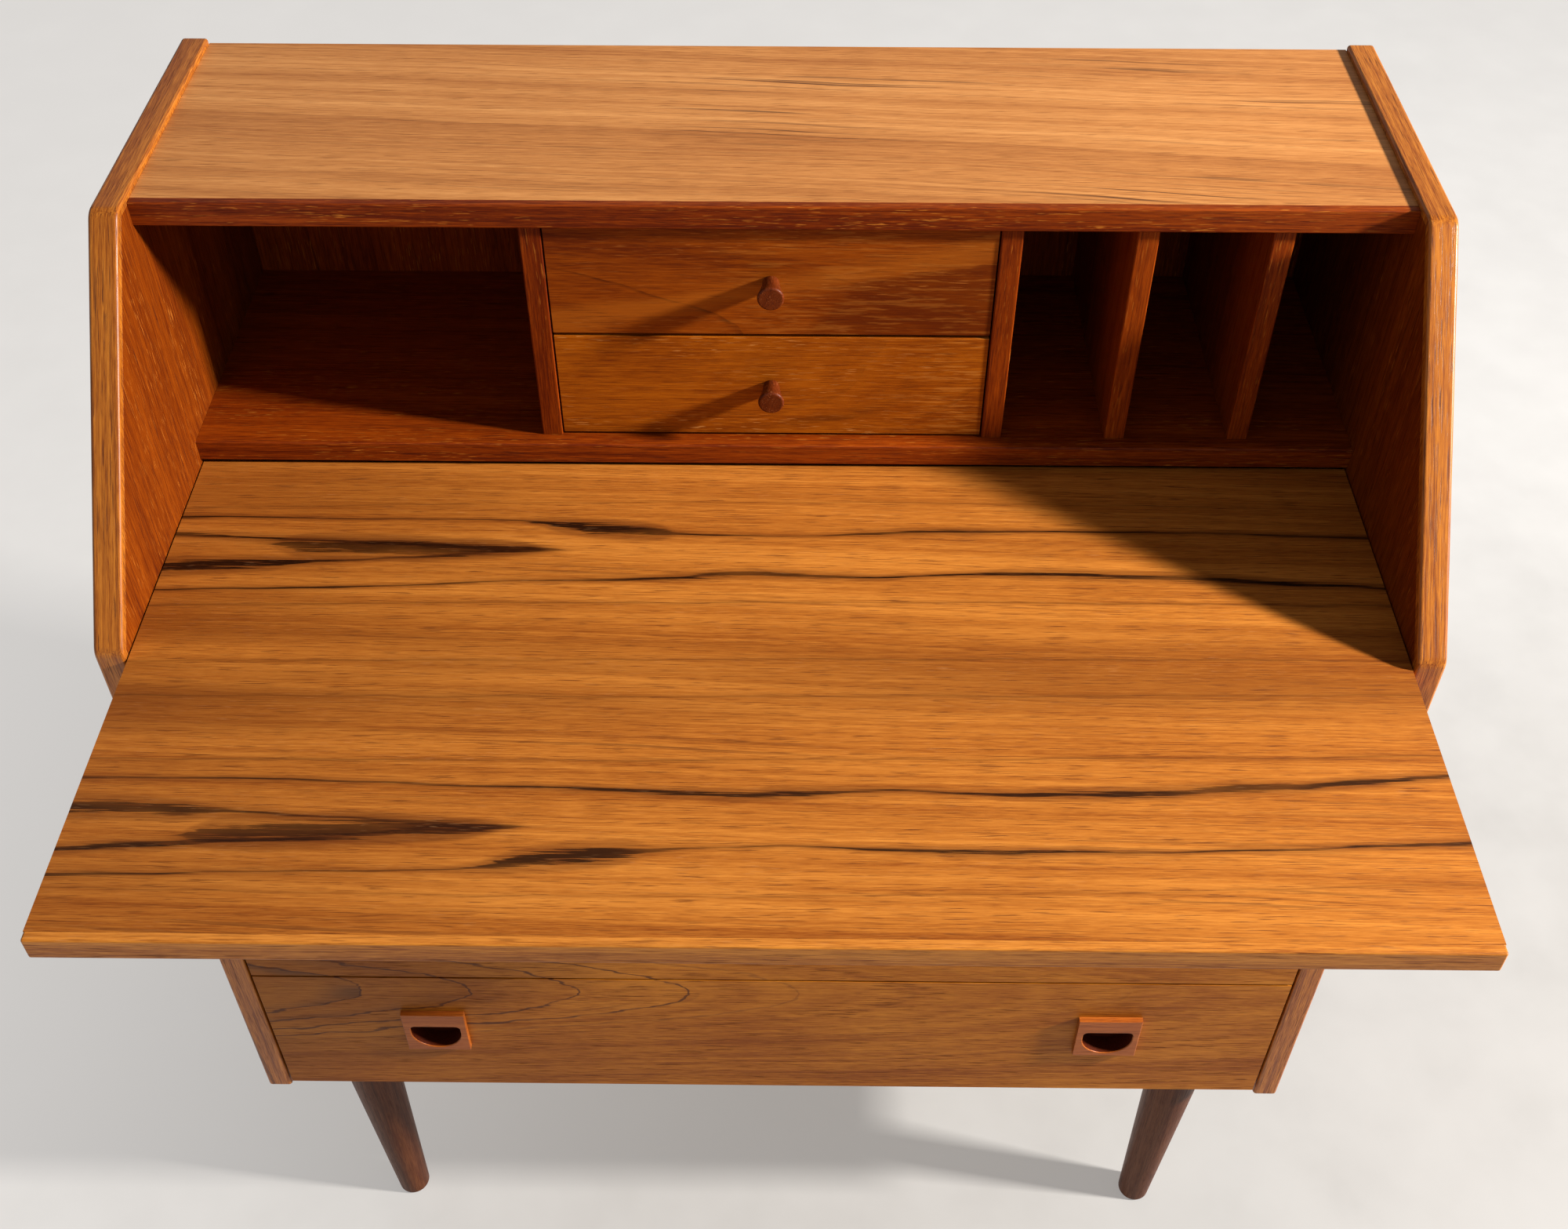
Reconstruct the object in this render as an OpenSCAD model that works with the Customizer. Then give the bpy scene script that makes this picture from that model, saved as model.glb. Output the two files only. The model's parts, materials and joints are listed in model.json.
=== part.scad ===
// Secretary desk: a slant-sided case on four turned legs, with a pull-out writing board,
// a row of pigeonholes and letter slots, two small drawers and three large drawers.
// The origin is on the floor, under the middle of the desk with its board pulled out.
// +X is to the right, +Y to the back, +Z up.

/* [Case] */
// Outer width over the side panels
case_w = 810; // [700:5:1000]
// Depth of the case, without the board
case_d = 394; // [370:2:440]
// Height of the side panels' underside above the floor
case_z = 240; // [180:5:255]
// Thickness of a side panel
side_t = 18; // [16:1:24]
// Height of the writing surface
writing_z = 739; // [738:1:750]
// Height at which the front edge starts to slope
slope_z = 745; // [742:1:780]
// Distance from the back at which the slope meets the top
slope_d = 218; // [210:1:240]
// Rise of the side panels above the writing surface
upper_h = 201; // [199:1:230]
// Radius of the two blunt corners of the sloping front edge
corner_r = 12; // [4:1:20]
// Thickness of the solid edging round the veneered boards
edging_t = 6; // [3:1:8]

/* [Top and shelf] */
// Thickness of the top board and of the shelf
board_t = 16; // [12:1:17]
// Drop of the top board below the side panels' top edges
top_drop = 4; // [0:1:6]
// Depth of the top board
top_d = 203; // [190:1:210]
// Depth of the shelf over the writing board
shelf_d = 209.5; // [205:0.5:216]
// Space between the writing board and the shelf over it
shelf_gap = 2.5; // [1.5:0.5:4]
// Thickness of the back panel
back_t = 5; // [4:1:5]

/* [Pigeonholes] */
// Distance from the back to the dividers' front edges
divider_d = 199; // [180:1:200]
// Thickness of a divider
divider_t = 13.5; // [10:0.5:18]
// Width of the bay for the small drawers
bay_w = 281; // [240:1:320]
// Sideways place of that bay's middle
bay_x = -1; // [-20:1:20]

/* [Writing board] */
// Depth of the board, front to back
leaf_d = 387; // [370:1:388]
// Gap at each side of the board
leaf_gap = 1; // [0.5:0.5:2]
// How far the board pulls out
leaf_travel = 200; // [120:10:200]
// Diameter of the two guide pins at its rear corners
pin_d = 6; // [4:1:8]

/* [Large drawers] */
// Height of a drawer front
front_h = 150; // [135:1:150]
// Thickness of a drawer front
front_t = 18; // [16:1:22]
// Gap at each end of a drawer front
front_gap = 2; // [1.5:0.5:3]
// Gap between two drawer fronts
front_step = 2; // [1.5:0.5:5]
// Height of the lowest front's lower edge over the side panels' underside
front_lift = 8.5; // [5:0.5:10]
// Thickness of a drawer side
box_t = 12; // [11:1:14]
// Height of a drawer side
box_h = 118; // [80:1:118]

/* [Small drawers] */
// Height of a small drawer front
small_h = 78; // [60:1:78]
// Thickness of a small drawer front
small_t = 14; // [12:1:16]
// Thickness of a small drawer's side
small_box_t = 9; // [8:1:10]
// Height of a small drawer's side
small_box_h = 60; // [40:1:60]

/* [Handles and knobs] */
// Width and height of a handle block
handle_w = 48; // [44:1:56]
// How far a handle stands out from the drawer front
handle_out = 4.5; // [2:0.5:8]
// Depth that a handle is let into the drawer front
handle_in = 12; // [11:1:12]
// Distance of a handle from the drawer's middle
handle_x = 257.5; // [180:0.5:300]
// Height of a handle's middle over the drawer front's middle
handle_up = 6.5; // [0:0.5:15]
// Width of the finger opening
finger_w = 38; // [30:1:38]
// Height of the finger opening
finger_h = 28; // [22:1:28]
// Diameter of a knob's face
knob_d = 17; // [14:1:22]
// Diameter of a knob where it meets the drawer
knob_neck_d = 10.5; // [8:0.5:12]
// Length of a knob
knob_l = 18.5; // [14:0.5:24]

/* [Legs] */
// Diameter of a leg at its top
leg_top_d = 44.5; // [36:0.5:50]
// Diameter of a leg at the floor
leg_foot_d = 26.5; // [20:0.5:32]
// Distance of the middle of a leg's top from the desk's middle, sideways
leg_x = 336.5; // [250:0.5:340]
// Distance that a leg's foot stands further in than its top
leg_lean = 6; // [0:0.5:12]
// Distance of a leg's middle from the case's front or back
leg_inset = 41; // [40:1:80]

/* [Hidden] */
$fn = 64;

// Finishes, as the wood looks under oil
golden_teak = [0.72, 0.43, 0.20];
red_teak = [0.60, 0.30, 0.14];
dark_leg = [0.24, 0.15, 0.11];
pale_wood = [0.80, 0.65, 0.45];
steel = [0.70, 0.70, 0.72];
brass = [0.75, 0.60, 0.32];

// Case planes
half_w = case_w / 2;
inner_w = half_w - side_t;
total_d = case_d + leaf_travel;
back_y = total_d / 2;
front_y = back_y - case_d;
top_z = writing_z + upper_h;
slope_y = back_y - slope_d;
slope_a = atan2(top_z - slope_z, slope_y - front_y);
back_in = back_t + 1;
inner_back_y = back_y - back_in;
rebate_w = 8;
foot_corner_r = 4;

// Horizontal boards
top_board_z = top_z - top_drop - board_t;
shelf_z = writing_z + shelf_gap;
floor_z = shelf_z + board_t;
bottom_z = case_z + 3;
bottom_front_y = front_y + front_t + 1;

// Board, its runners and its guide grooves
slide_gap = 0.3;
leaf_half_w = inner_w - leaf_gap;
leaf_front_y = front_y - leaf_travel;
leaf_back_y = leaf_front_y + leaf_d;
leaf_z = writing_z - board_t;
board_runner_w = 18;
board_runner_h = 16;
rail_set_back = 22;
rail_t = 20;
groove_deep = 7;
groove_w = pin_d + 2 * slide_gap;
pin_y = leaf_back_y - 10;
pin_z = leaf_z + board_t / 2;
pin_in_board = 24;

// Large drawers
front_half_w = inner_w - front_gap;
box_half_w = front_half_w - 0.5;
box_rise = 14.5;
box_back_y = back_y - 20;
box_front_y = front_y + front_t;
runner_h = 17;
runner_t = 8;
runner_front_y = front_y + 50;
runner_back_y = back_y - 24;
bottom_ply_t = 4;
ply_gap = 0.2;
ply_groove = 6;
ply_rise = 8;
tail_in = 12;
tail_count = 4;
tail_gap = 0.05;
handle_lip = 16;
finger_corner_r = 4;

// Small drawers
small_front_y = back_y - divider_d + 1;
small_gap = 1;
small_half_w = bay_w / 2 - small_gap;
small_back_y = back_y - 18;
small_rise = 7;
small_runner_h = 8;
small_runner_t = 5;
small_runner_front_y = small_front_y + 30;
tenon_d = 7;
tenon_l = 11;

// Heights of the drawers' lower edges
function drawer_z(i) = case_z + front_lift + i * (front_h + front_step);
function small_z(i) = floor_z + 2 + i * (small_h + 2.5);

// Middles of the four dividers
bay_left_x = bay_x - bay_w / 2 - divider_t / 2;
bay_right_x = bay_x + bay_w / 2 + divider_t / 2;
slot_w = (inner_w - bay_right_x - 2.5 * divider_t) / 3;
slot_left_x = bay_right_x + slot_w + divider_t;
slot_right_x = slot_left_x + slot_w + divider_t;

// Legs and their fixings
plate_w = 50;
plate_t = 3;
plate_hole = 18.5;
bolt_d = 8;
bolt_in_leg = 35;
leg_h = bottom_z - plate_t;
leg_a = atan(leg_lean / leg_h);
leg_over = 1;
foot_chamfer = 2;
screw_d = 3.5;
screw_head_d = 7;
screw_head_h = 2.4;
screw_clear = 0.05;

leg_places = [for (sx = [-1, 1]) for (y = [front_y + leg_inset, back_y - leg_inset]) [sx * leg_x, y]];

// Each screw is [head position, turn that points its tip, length]
function plate_screws() = [for (p = leg_places) for (sx = [-1, 1]) for (sy = [-1, 1])
    [[p[0] + sx * plate_hole, p[1] + sy * plate_hole, bottom_z - plate_t], [0, 0, 0], 14]];
function side_back_screws(side) = [for (k = [0:3])
    [[side * (inner_w + rebate_w / 2), back_y - 1, case_z + 60 + 190 * k], [90, 0, 0], 18]];
function board_back_screws(z) = [for (k = [-1:1]) [[240 * k, back_y - 1, z + board_t / 2], [90, 0, 0], 18]];
function back_screws() = concat(side_back_screws(-1), side_back_screws(1),
    board_back_screws(bottom_z), board_back_screws(shelf_z));
function runner_screws(side) = [for (i = [0:2])
    for (y = [runner_front_y + 30, (runner_front_y + runner_back_y) / 2, runner_back_y - 30])
        [[side * (inner_w - runner_t), y, drawer_z(i) + box_rise + box_h / 2], [0, side * 90, 0], 18]];
function leaf_runner_screws(side) = [for (y = [front_y + 70, 100, back_y - 50])
    [[side * (inner_w - board_runner_w), y, leaf_z - slide_gap - board_runner_h / 2], [0, side * 90, 0], 28]];
function small_runner_screws() = [for (i = [0:1]) for (side = [-1, 1])
    for (y = [small_runner_front_y + 20, inner_back_y - 32])
    [[bay_x + side * (bay_w / 2 - small_runner_t), y, small_z(i) + small_rise + small_box_h / 2],
        [0, side * 90, 0], 13]];
function all_screws() = concat(plate_screws(), back_screws(), runner_screws(-1), runner_screws(1),
    leaf_runner_screws(-1), leaf_runner_screws(1), small_runner_screws());

// A box between two corners
module block(low, high) {
    translate(low) cube(high - low);
}

// One countersunk screw with its head at the origin and its tip up +Z
module screw(length, grow = 0) {
    cylinder(h = screw_head_h, d1 = screw_head_d + 2 * grow, d2 = screw_d + 2 * grow);
    cylinder(h = length + grow, d = screw_d + 2 * grow);
}

module screws(list, grow = 0) {
    for (s = list) translate(s[0]) rotate(s[1]) screw(s[2], grow);
}

// Points of an arc that turns a path at corner p from heading a to heading b
function turn(p, a, b, r, steps = 6) = let (
    t = r * tan((b - a) / 2),
    c = p - t * [cos(a), sin(a)] + r * [-sin(a), cos(a)])
    [for (i = [0:steps]) let (h = a + (b - a) * i / steps) c + r * [sin(h), -cos(h)]];

// Outline of a side panel in the Y-Z plane
function panel_outline() = concat(
    [[back_y, case_z], [back_y, top_z]],
    turn([slope_y, top_z], 180, 180 + slope_a, corner_r),
    turn([front_y, slope_z], 180 + slope_a, 270, corner_r),
    turn([front_y, case_z], 270, 360, foot_corner_r));

// Outline of the veneered core, inside the edging, run past the back and the underside by over
function core_outline(over = 0) = let (e = edging_t) [
    [back_y + over, case_z - over], [back_y + over, top_z - e],
    [slope_y + e * tan(slope_a / 2), top_z - e],
    [front_y + e, slope_z - e * cos(slope_a) / (1 + sin(slope_a))],
    [front_y + e, case_z - over]];

// Stands a Y-Z outline up as a board that starts at x = 0
module upright(thickness) {
    rotate([90, 0, 90]) linear_extrude(thickness) children();
}

// Groove that guides a pin of the writing board, stopped at both ends
module pin_groove() {
    y_in = pin_y + leaf_travel;
    block([inner_w - 1, pin_y, pin_z - groove_w / 2], [inner_w + groove_deep, y_in, pin_z + groove_w / 2]);
    for (y = [pin_y, y_in])
        translate([inner_w - 1, y, pin_z]) rotate([0, 90, 0]) cylinder(h = groove_deep + 1, d = groove_w);
}

// Right-hand side panel; the left one is its mirror image
module side_panel() {
    color(golden_teak) difference() {
        translate([inner_w, 0, 0]) upright(side_t) polygon(core_outline());
        block([inner_w - 1, inner_back_y, case_z - 1],
            [inner_w + rebate_w, back_y + 1, top_board_z + rebate_w]);
        pin_groove();
        screws(side_back_screws(1), screw_clear);
        screws(runner_screws(1), screw_clear);
        screws(leaf_runner_screws(1), screw_clear);
    }
}

// Solid strip along the front, the slope and the top of the right-hand side panel
module side_edging() {
    color(red_teak) translate([inner_w, 0, 0]) upright(side_t) difference() {
        polygon(panel_outline());
        polygon(core_outline(1));
    }
}

// A board between the side panels with a solid strip along its front edge
module case_board(z, depth) {
    color(golden_teak) block([-inner_w, back_y - depth + edging_t, z], [inner_w, inner_back_y, z + board_t]);
}

module case_board_edging(z, depth) {
    color(red_teak) block([-inner_w, back_y - depth, z], [inner_w, back_y - depth + edging_t, z + board_t]);
}

module top_board() {
    color(golden_teak) difference() {
        block([-inner_w, back_y - top_d + edging_t, top_board_z], [inner_w, back_y, top_board_z + board_t]);
        block([-inner_w - 1, inner_back_y, top_board_z - 1],
            [inner_w + 1, back_y + 1, top_board_z + rebate_w]);
    }
}

module shelf() {
    difference() {
        case_board(shelf_z, shelf_d);
        screws(board_back_screws(shelf_z), screw_clear);
    }
}

module back_panel() {
    gap = 0.5;
    color(golden_teak) difference() {
        block([-inner_w - rebate_w + gap, inner_back_y, case_z + 1],
            [inner_w + rebate_w - gap, inner_back_y + back_t, top_board_z + rebate_w - gap]);
        screws(back_screws(), screw_clear);
    }
}

module bottom_panel() {
    color(red_teak) difference() {
        block([-inner_w, bottom_front_y, bottom_z], [inner_w, inner_back_y, bottom_z + board_t]);
        screws(board_back_screws(bottom_z), screw_clear);
        screws(plate_screws(), screw_clear);
    }
}

// Rail that ties the side panels under the writing board, set back to leave room for fingers
module front_rail() {
    color(red_teak)
        block([-inner_w, front_y + rail_set_back, drawer_z(2) + front_h + 2],
            [inner_w, front_y + rail_set_back + rail_t, leaf_z - slide_gap]);
}

module divider(x) {
    color(red_teak) difference() {
        block([x - divider_t / 2, back_y - divider_d, floor_z],
            [x + divider_t / 2, inner_back_y, top_board_z]);
        screws(small_runner_screws(), screw_clear);
    }
}

// Strip under each side of the writing board; the right-hand one
module board_runner() {
    top = leaf_z - slide_gap;
    color(pale_wood) difference() {
        block([inner_w - board_runner_w, front_y + rail_set_back + rail_t, top - board_runner_h],
            [inner_w, inner_back_y, top]);
        screws(leaf_runner_screws(1), screw_clear);
    }
}

// The three strips that the right-hand sides of the large drawers run on
module drawer_runners() {
    color(pale_wood) difference() {
        for (i = [0:2]) {
            z = drawer_z(i) + box_rise + (box_h - runner_h) / 2;
            block([inner_w - runner_t, runner_front_y, z], [inner_w, runner_back_y, z + runner_h]);
        }
        screws(runner_screws(1), screw_clear);
    }
}

// The four strips on the dividers that the small drawers run on
module small_drawer_runners() {
    color(pale_wood) difference() {
        for (i = [0:1]) for (side = [-1, 1]) {
            x = bay_x + side * (bay_w / 2 - small_runner_t / 2);
            z = small_z(i) + small_rise + (small_box_h - small_runner_h) / 2;
            block([x - small_runner_t / 2, small_runner_front_y, z],
                [x + small_runner_t / 2, inner_back_y - 12, z + small_runner_h]);
        }
        screws(small_runner_screws(), screw_clear);
    }
}

// Turned leg: a taper that leans in a little towards its foot, cut level at both ends
module leg(i) {
    p = leg_places[i];
    side = p[0] / leg_x;
    turned_h = leg_h / cos(leg_a) + leg_over;
    color(dark_leg) difference() {
        intersection() {
            translate([p[0], p[1], leg_h]) rotate([0, side * leg_a, 0]) translate([0, 0, -turned_h]) {
                cylinder(h = foot_chamfer + leg_over, d1 = leg_foot_d - 2 * foot_chamfer, d2 = leg_foot_d);
                translate([0, 0, foot_chamfer + leg_over])
                    cylinder(h = turned_h - foot_chamfer, d1 = leg_foot_d, d2 = leg_top_d);
            }
            block([p[0] - plate_w, p[1] - plate_w, 0], [p[0] + plate_w, p[1] + plate_w, leg_h]);
        }
        translate([p[0], p[1], leg_h - bolt_in_leg]) cylinder(h = bolt_in_leg + 1, d = bolt_d);
    }
}

module leg_plates() {
    reach = [plate_w / 2, plate_w / 2, 0];
    color(steel) difference() {
        for (p = leg_places) block([p[0], p[1], leg_h] - reach, [p[0], p[1], bottom_z] + reach);
        for (p = leg_places) translate([p[0], p[1], leg_h - 1]) cylinder(h = plate_t + 2, d = bolt_d);
        screws(plate_screws(), screw_clear);
    }
}

module leg_bolts() {
    color(steel) for (p = leg_places)
        translate([p[0], p[1], leg_h - bolt_in_leg]) cylinder(h = bolt_in_leg + plate_t, d = bolt_d);
}

module case_screws() {
    color(steel) screws(all_screws());
}

module writing_board() {
    color(golden_teak) difference() {
        block([-leaf_half_w, leaf_front_y + edging_t, leaf_z], [leaf_half_w, leaf_back_y, writing_z]);
        for (side = [-1, 1])
            translate([side * (leaf_half_w - pin_in_board), pin_y, pin_z]) rotate([0, side * 90, 0])
                cylinder(h = pin_in_board + 1, d = pin_d);
    }
}

module writing_board_edging() {
    color(red_teak)
        block([-leaf_half_w, leaf_front_y, leaf_z], [leaf_half_w, leaf_front_y + edging_t, writing_z]);
}

module writing_board_pins() {
    pin_l = pin_in_board + leaf_gap + groove_deep - 1;
    color(brass) for (side = [-1, 1])
        translate([side * (leaf_half_w - pin_in_board), pin_y, pin_z]) rotate([0, side * 90, 0])
            cylinder(h = pin_l, d = pin_d);
}

// Dovetail outlines across the height of a drawer side, in the Y-Z plane
module tails(grow = 0) {
    pitch = box_h / tail_count;
    wide = 0.62 * pitch;
    narrow = 0.44 * pitch;
    for (k = [0:tail_count - 1]) translate([box_front_y, (k + 0.5) * pitch]) polygon([
        [-tail_in - grow, -wide / 2 - grow], [0.01, -narrow / 2 - grow],
        [0.01, narrow / 2 + grow], [-tail_in - grow, wide / 2 + grow]]);
}

// Front of a large drawer, with blind mortises for the handles and sockets for the sides' tails
module drawer_front(i) {
    z = drawer_z(i);
    handle_z = z + front_h / 2 + handle_up;
    color(golden_teak) difference() {
        block([-front_half_w, front_y, z], [front_half_w, box_front_y, z + front_h]);
        for (side = [-1, 1]) block([side * handle_x - handle_w / 2, front_y - 1, handle_z - handle_w / 2],
            [side * handle_x + handle_w / 2, front_y + handle_in, handle_z + handle_w / 2]);
        for (x = [-box_half_w, box_half_w - box_t])
            translate([x, 0, z + box_rise]) upright(box_t) tails(tail_gap);
        translate([0, 0, z + box_rise + ply_rise]) ply(ply_gap);
    }
}

// The bottom sheet of a large drawer, which sits in grooves in the front and sides
module ply(grow = 0) {
    x = box_half_w - box_t + ply_groove - ply_gap + grow;
    block([-x, box_front_y - ply_groove - grow, -grow], [x, box_back_y, bottom_ply_t + grow]);
}

module drawer_side(i, side) {
    z = drawer_z(i) + box_rise;
    x_out = side * box_half_w;
    x_in = side * (box_half_w - box_t);
    x_groove = side * (box_half_w - box_t / 2);
    x_over = side * (box_half_w + 1);
    groove_z = (box_h - runner_h) / 2 - slide_gap;
    groove_h = runner_h + 2 * slide_gap;
    color(pale_wood) difference() {
        translate([min(x_out, x_in), 0, z]) upright(box_t) {
            translate([box_front_y, 0]) square([box_back_y - box_front_y, box_h]);
            tails();
        }
        translate([0, 0, z]) block([min(x_groove, x_over), runner_front_y - 1, groove_z],
            [max(x_groove, x_over), box_back_y + 1, groove_z + groove_h]);
        translate([0, 0, z + ply_rise]) ply(ply_gap);
    }
}

module drawer_back(i) {
    z = drawer_z(i) + box_rise + ply_rise + bottom_ply_t + ply_gap;
    x = box_half_w - box_t;
    color(pale_wood) block([-x, box_back_y - box_t, z], [x, box_back_y, drawer_z(i) + box_rise + box_h - 6]);
}

module drawer_bottom(i) {
    color(pale_wood) translate([0, 0, drawer_z(i) + box_rise + ply_rise]) ply();
}

// Finger opening: flat on top with softened corners and round below, with its flat top at z = 0
module finger_hole(depth) {
    r = finger_w / 2;
    straight = finger_h - r;
    corner = finger_corner_r;
    intersection() {
        rotate([-90, 0, 0]) translate([0, straight, 0]) cylinder(h = depth, d = finger_w);
        block([-r, 0, -finger_h], [r, depth, -straight]);
    }
    block([-r, 0, -straight], [r, depth, -corner]);
    block([corner - r, 0, -corner], [r - corner, depth, 0]);
    for (side = [-1, 1])
        rotate([-90, 0, 0]) translate([side * (r - corner), corner, 0]) cylinder(h = depth, r = corner);
}

// Square block let into the drawer front, hollowed so that fingers can hook behind its face
module handle(side, z) {
    face_y = front_y - handle_out;
    hook_w = finger_w - 4;
    hook_y = 7;
    wall = 2;
    color(red_teak) translate([side * handle_x, face_y, z]) difference() {
        block([-handle_w / 2, 0, -handle_w / 2], [handle_w / 2, handle_out + handle_in, handle_w / 2]);
        translate([0, -1, handle_w / 2 - handle_lip]) finger_hole(handle_out + handle_in - wall + 1);
        block([-hook_w / 2, hook_y, -wall],
            [hook_w / 2, handle_out + handle_in - wall, handle_w / 2 - handle_lip / 2]);
    }
}

module drawer_handles(i) {
    for (side = [-1, 1]) handle(side, drawer_z(i) + front_h / 2 + handle_up);
}

// Small drawers: front with a socket for the knob's tenon
module small_front(i) {
    z = small_z(i);
    color(golden_teak) translate([bay_x, 0, z]) difference() {
        block([-small_half_w, small_front_y, 0], [small_half_w, small_front_y + small_t, small_h]);
        translate([0, small_front_y - 1, small_h / 2]) rotate([-90, 0, 0])
            cylinder(h = tenon_l + 1, d = tenon_d);
        small_ply(ply_gap);
    }
}

module small_ply(grow = 0) {
    x = small_half_w - small_box_t + 4 - ply_gap + grow;
    z = small_rise + 6;
    block([-x, small_front_y + small_t - 4 - grow, z - grow], [x, small_back_y, z + 3 + grow]);
}

module small_sides(i) {
    groove_z = small_rise + (small_box_h - small_runner_h) / 2 - slide_gap;
    color(pale_wood) translate([bay_x, 0, small_z(i)]) difference() {
        for (side = [-1, 1]) {
            x = side * (small_half_w - small_box_t / 2);
            block([x - small_box_t / 2, small_front_y + small_t, small_rise],
                [x + small_box_t / 2, small_back_y, small_rise + small_box_h]);
        }
        for (side = [-1, 1]) {
            x = side * small_half_w;
            block([x - 4.5, small_runner_front_y - 1, groove_z],
                [x + 4.5, small_back_y + 1, groove_z + small_runner_h + 2 * slide_gap]);
        }
        small_ply(ply_gap);
    }
}

module small_back(i) {
    x = small_half_w - small_box_t;
    z = small_rise + 9 + ply_gap;
    color(pale_wood) translate([bay_x, 0, small_z(i)])
        block([-x, small_back_y - small_box_t, z], [x, small_back_y, small_rise + small_box_h - 4]);
}

module small_bottom(i) {
    color(pale_wood) translate([bay_x, 0, small_z(i)]) small_ply();
}

// Turned knob that flares towards its face, with a tenon into the drawer front
module knob(i) {
    rn = knob_neck_d / 2;
    rf = knob_d / 2;
    edge = 1.6;
    flare = [for (k = [0:8]) let (t = k / 8)
        [rn + (rf - rn) * (0.35 * t + 0.65 * t * t), t * (knob_l - edge)]];
    rim = [for (a = [0:30:90]) [rf - edge + edge * cos(a), knob_l - edge + edge * sin(a)]];
    color(red_teak) translate([bay_x, small_front_y, small_z(i) + small_h / 2]) rotate([90, 0, 0]) {
        rotate_extrude() polygon(concat([[0, 0]], flare, rim, [[0, knob_l]]));
        translate([0, 0, -tenon_l]) cylinder(h = tenon_l + 0.5, d = tenon_d);
    }
}

module left() {
    mirror([1, 0, 0]) children();
}

left() side_panel();  // side_panel_left
side_panel();  // side_panel_right
left() side_edging();  // side_edging_left
side_edging();  // side_edging_right
top_board();
case_board_edging(top_board_z, top_d);  // top_board_edging
shelf();
case_board_edging(shelf_z, shelf_d);  // shelf_edging
back_panel();
bottom_panel();
front_rail();
divider(bay_left_x);  // divider_bay_left
divider(bay_right_x);  // divider_bay_right
divider(slot_left_x);  // divider_slot_left
divider(slot_right_x);  // divider_slot_right
left() board_runner();  // board_runner_left
board_runner();  // board_runner_right
left() drawer_runners();  // drawer_runners_left
drawer_runners();  // drawer_runners_right
small_drawer_runners();
leg(0);  // leg_front_left
leg(1);  // leg_rear_left
leg(2);  // leg_front_right
leg(3);  // leg_rear_right
leg_plates();
leg_bolts();
case_screws();
writing_board();
writing_board_edging();
writing_board_pins();
small_front(1);  // small_drawer_upper_front
small_sides(1);  // small_drawer_upper_sides
small_back(1);  // small_drawer_upper_back
small_bottom(1);  // small_drawer_upper_bottom
knob(1);  // small_drawer_upper_knob
small_front(0);  // small_drawer_lower_front
small_sides(0);  // small_drawer_lower_sides
small_back(0);  // small_drawer_lower_back
small_bottom(0);  // small_drawer_lower_bottom
knob(0);  // small_drawer_lower_knob
drawer_front(2);  // drawer_top_front
drawer_side(2, -1);  // drawer_top_side_left
drawer_side(2, 1);  // drawer_top_side_right
drawer_back(2);  // drawer_top_back
drawer_bottom(2);  // drawer_top_bottom
drawer_handles(2);  // drawer_top_handles
drawer_front(1);  // drawer_middle_front
drawer_side(1, -1);  // drawer_middle_side_left
drawer_side(1, 1);  // drawer_middle_side_right
drawer_back(1);  // drawer_middle_back
drawer_bottom(1);  // drawer_middle_bottom
drawer_handles(1);  // drawer_middle_handles
drawer_front(0);  // drawer_lowest_front
drawer_side(0, -1);  // drawer_lowest_side_left
drawer_side(0, 1);  // drawer_lowest_side_right
drawer_back(0);  // drawer_lowest_back
drawer_bottom(0);  // drawer_lowest_bottom
drawer_handles(0);  // drawer_lowest_handles
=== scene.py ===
# %% [markdown]
# # A secretary desk in oiled teak
# The desk is a case of veneered boards on four turned legs, with a pull-out writing board, a row of
# pigeonholes, two small drawers and three large ones. The packed model already holds every board and
# drawer in its place. This script gives them eased edges, wood that grows in one direction through each
# board, finishes for the turned knobs and legs, screws, a floor, light and a camera. Everything is in metres.

# %% Load the packed model
import json
import math

import bmesh
import bpy
from mathutils import Matrix, Vector


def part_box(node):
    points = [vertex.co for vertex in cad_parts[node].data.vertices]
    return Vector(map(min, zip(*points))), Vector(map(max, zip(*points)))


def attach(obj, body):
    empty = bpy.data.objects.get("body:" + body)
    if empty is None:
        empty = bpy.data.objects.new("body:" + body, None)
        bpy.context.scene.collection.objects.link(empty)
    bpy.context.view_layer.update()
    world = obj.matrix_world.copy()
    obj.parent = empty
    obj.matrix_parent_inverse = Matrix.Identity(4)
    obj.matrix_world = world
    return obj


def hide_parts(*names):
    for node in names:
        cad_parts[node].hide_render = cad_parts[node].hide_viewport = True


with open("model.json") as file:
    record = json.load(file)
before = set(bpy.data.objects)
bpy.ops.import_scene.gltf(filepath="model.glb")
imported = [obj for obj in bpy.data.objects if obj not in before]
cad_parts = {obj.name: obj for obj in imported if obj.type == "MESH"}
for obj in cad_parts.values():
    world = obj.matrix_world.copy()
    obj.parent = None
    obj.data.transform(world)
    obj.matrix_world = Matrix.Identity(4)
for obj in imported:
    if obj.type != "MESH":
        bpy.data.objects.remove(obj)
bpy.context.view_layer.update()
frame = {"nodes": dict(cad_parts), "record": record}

nodes_by_name = frame["nodes"]
body_of_node = {n: b for b, names in frame["record"]["behaviour"]["bodies"].items() for n in names}

# %% [markdown]
# ## Camera
# The desk is seen from above and in front: the camera looks down at 45 degrees over the writing board.
# A matrix made of three turns (yaw, tilt, roll) is easier to read than Euler angles, because each turn
# has one meaning.

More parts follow.
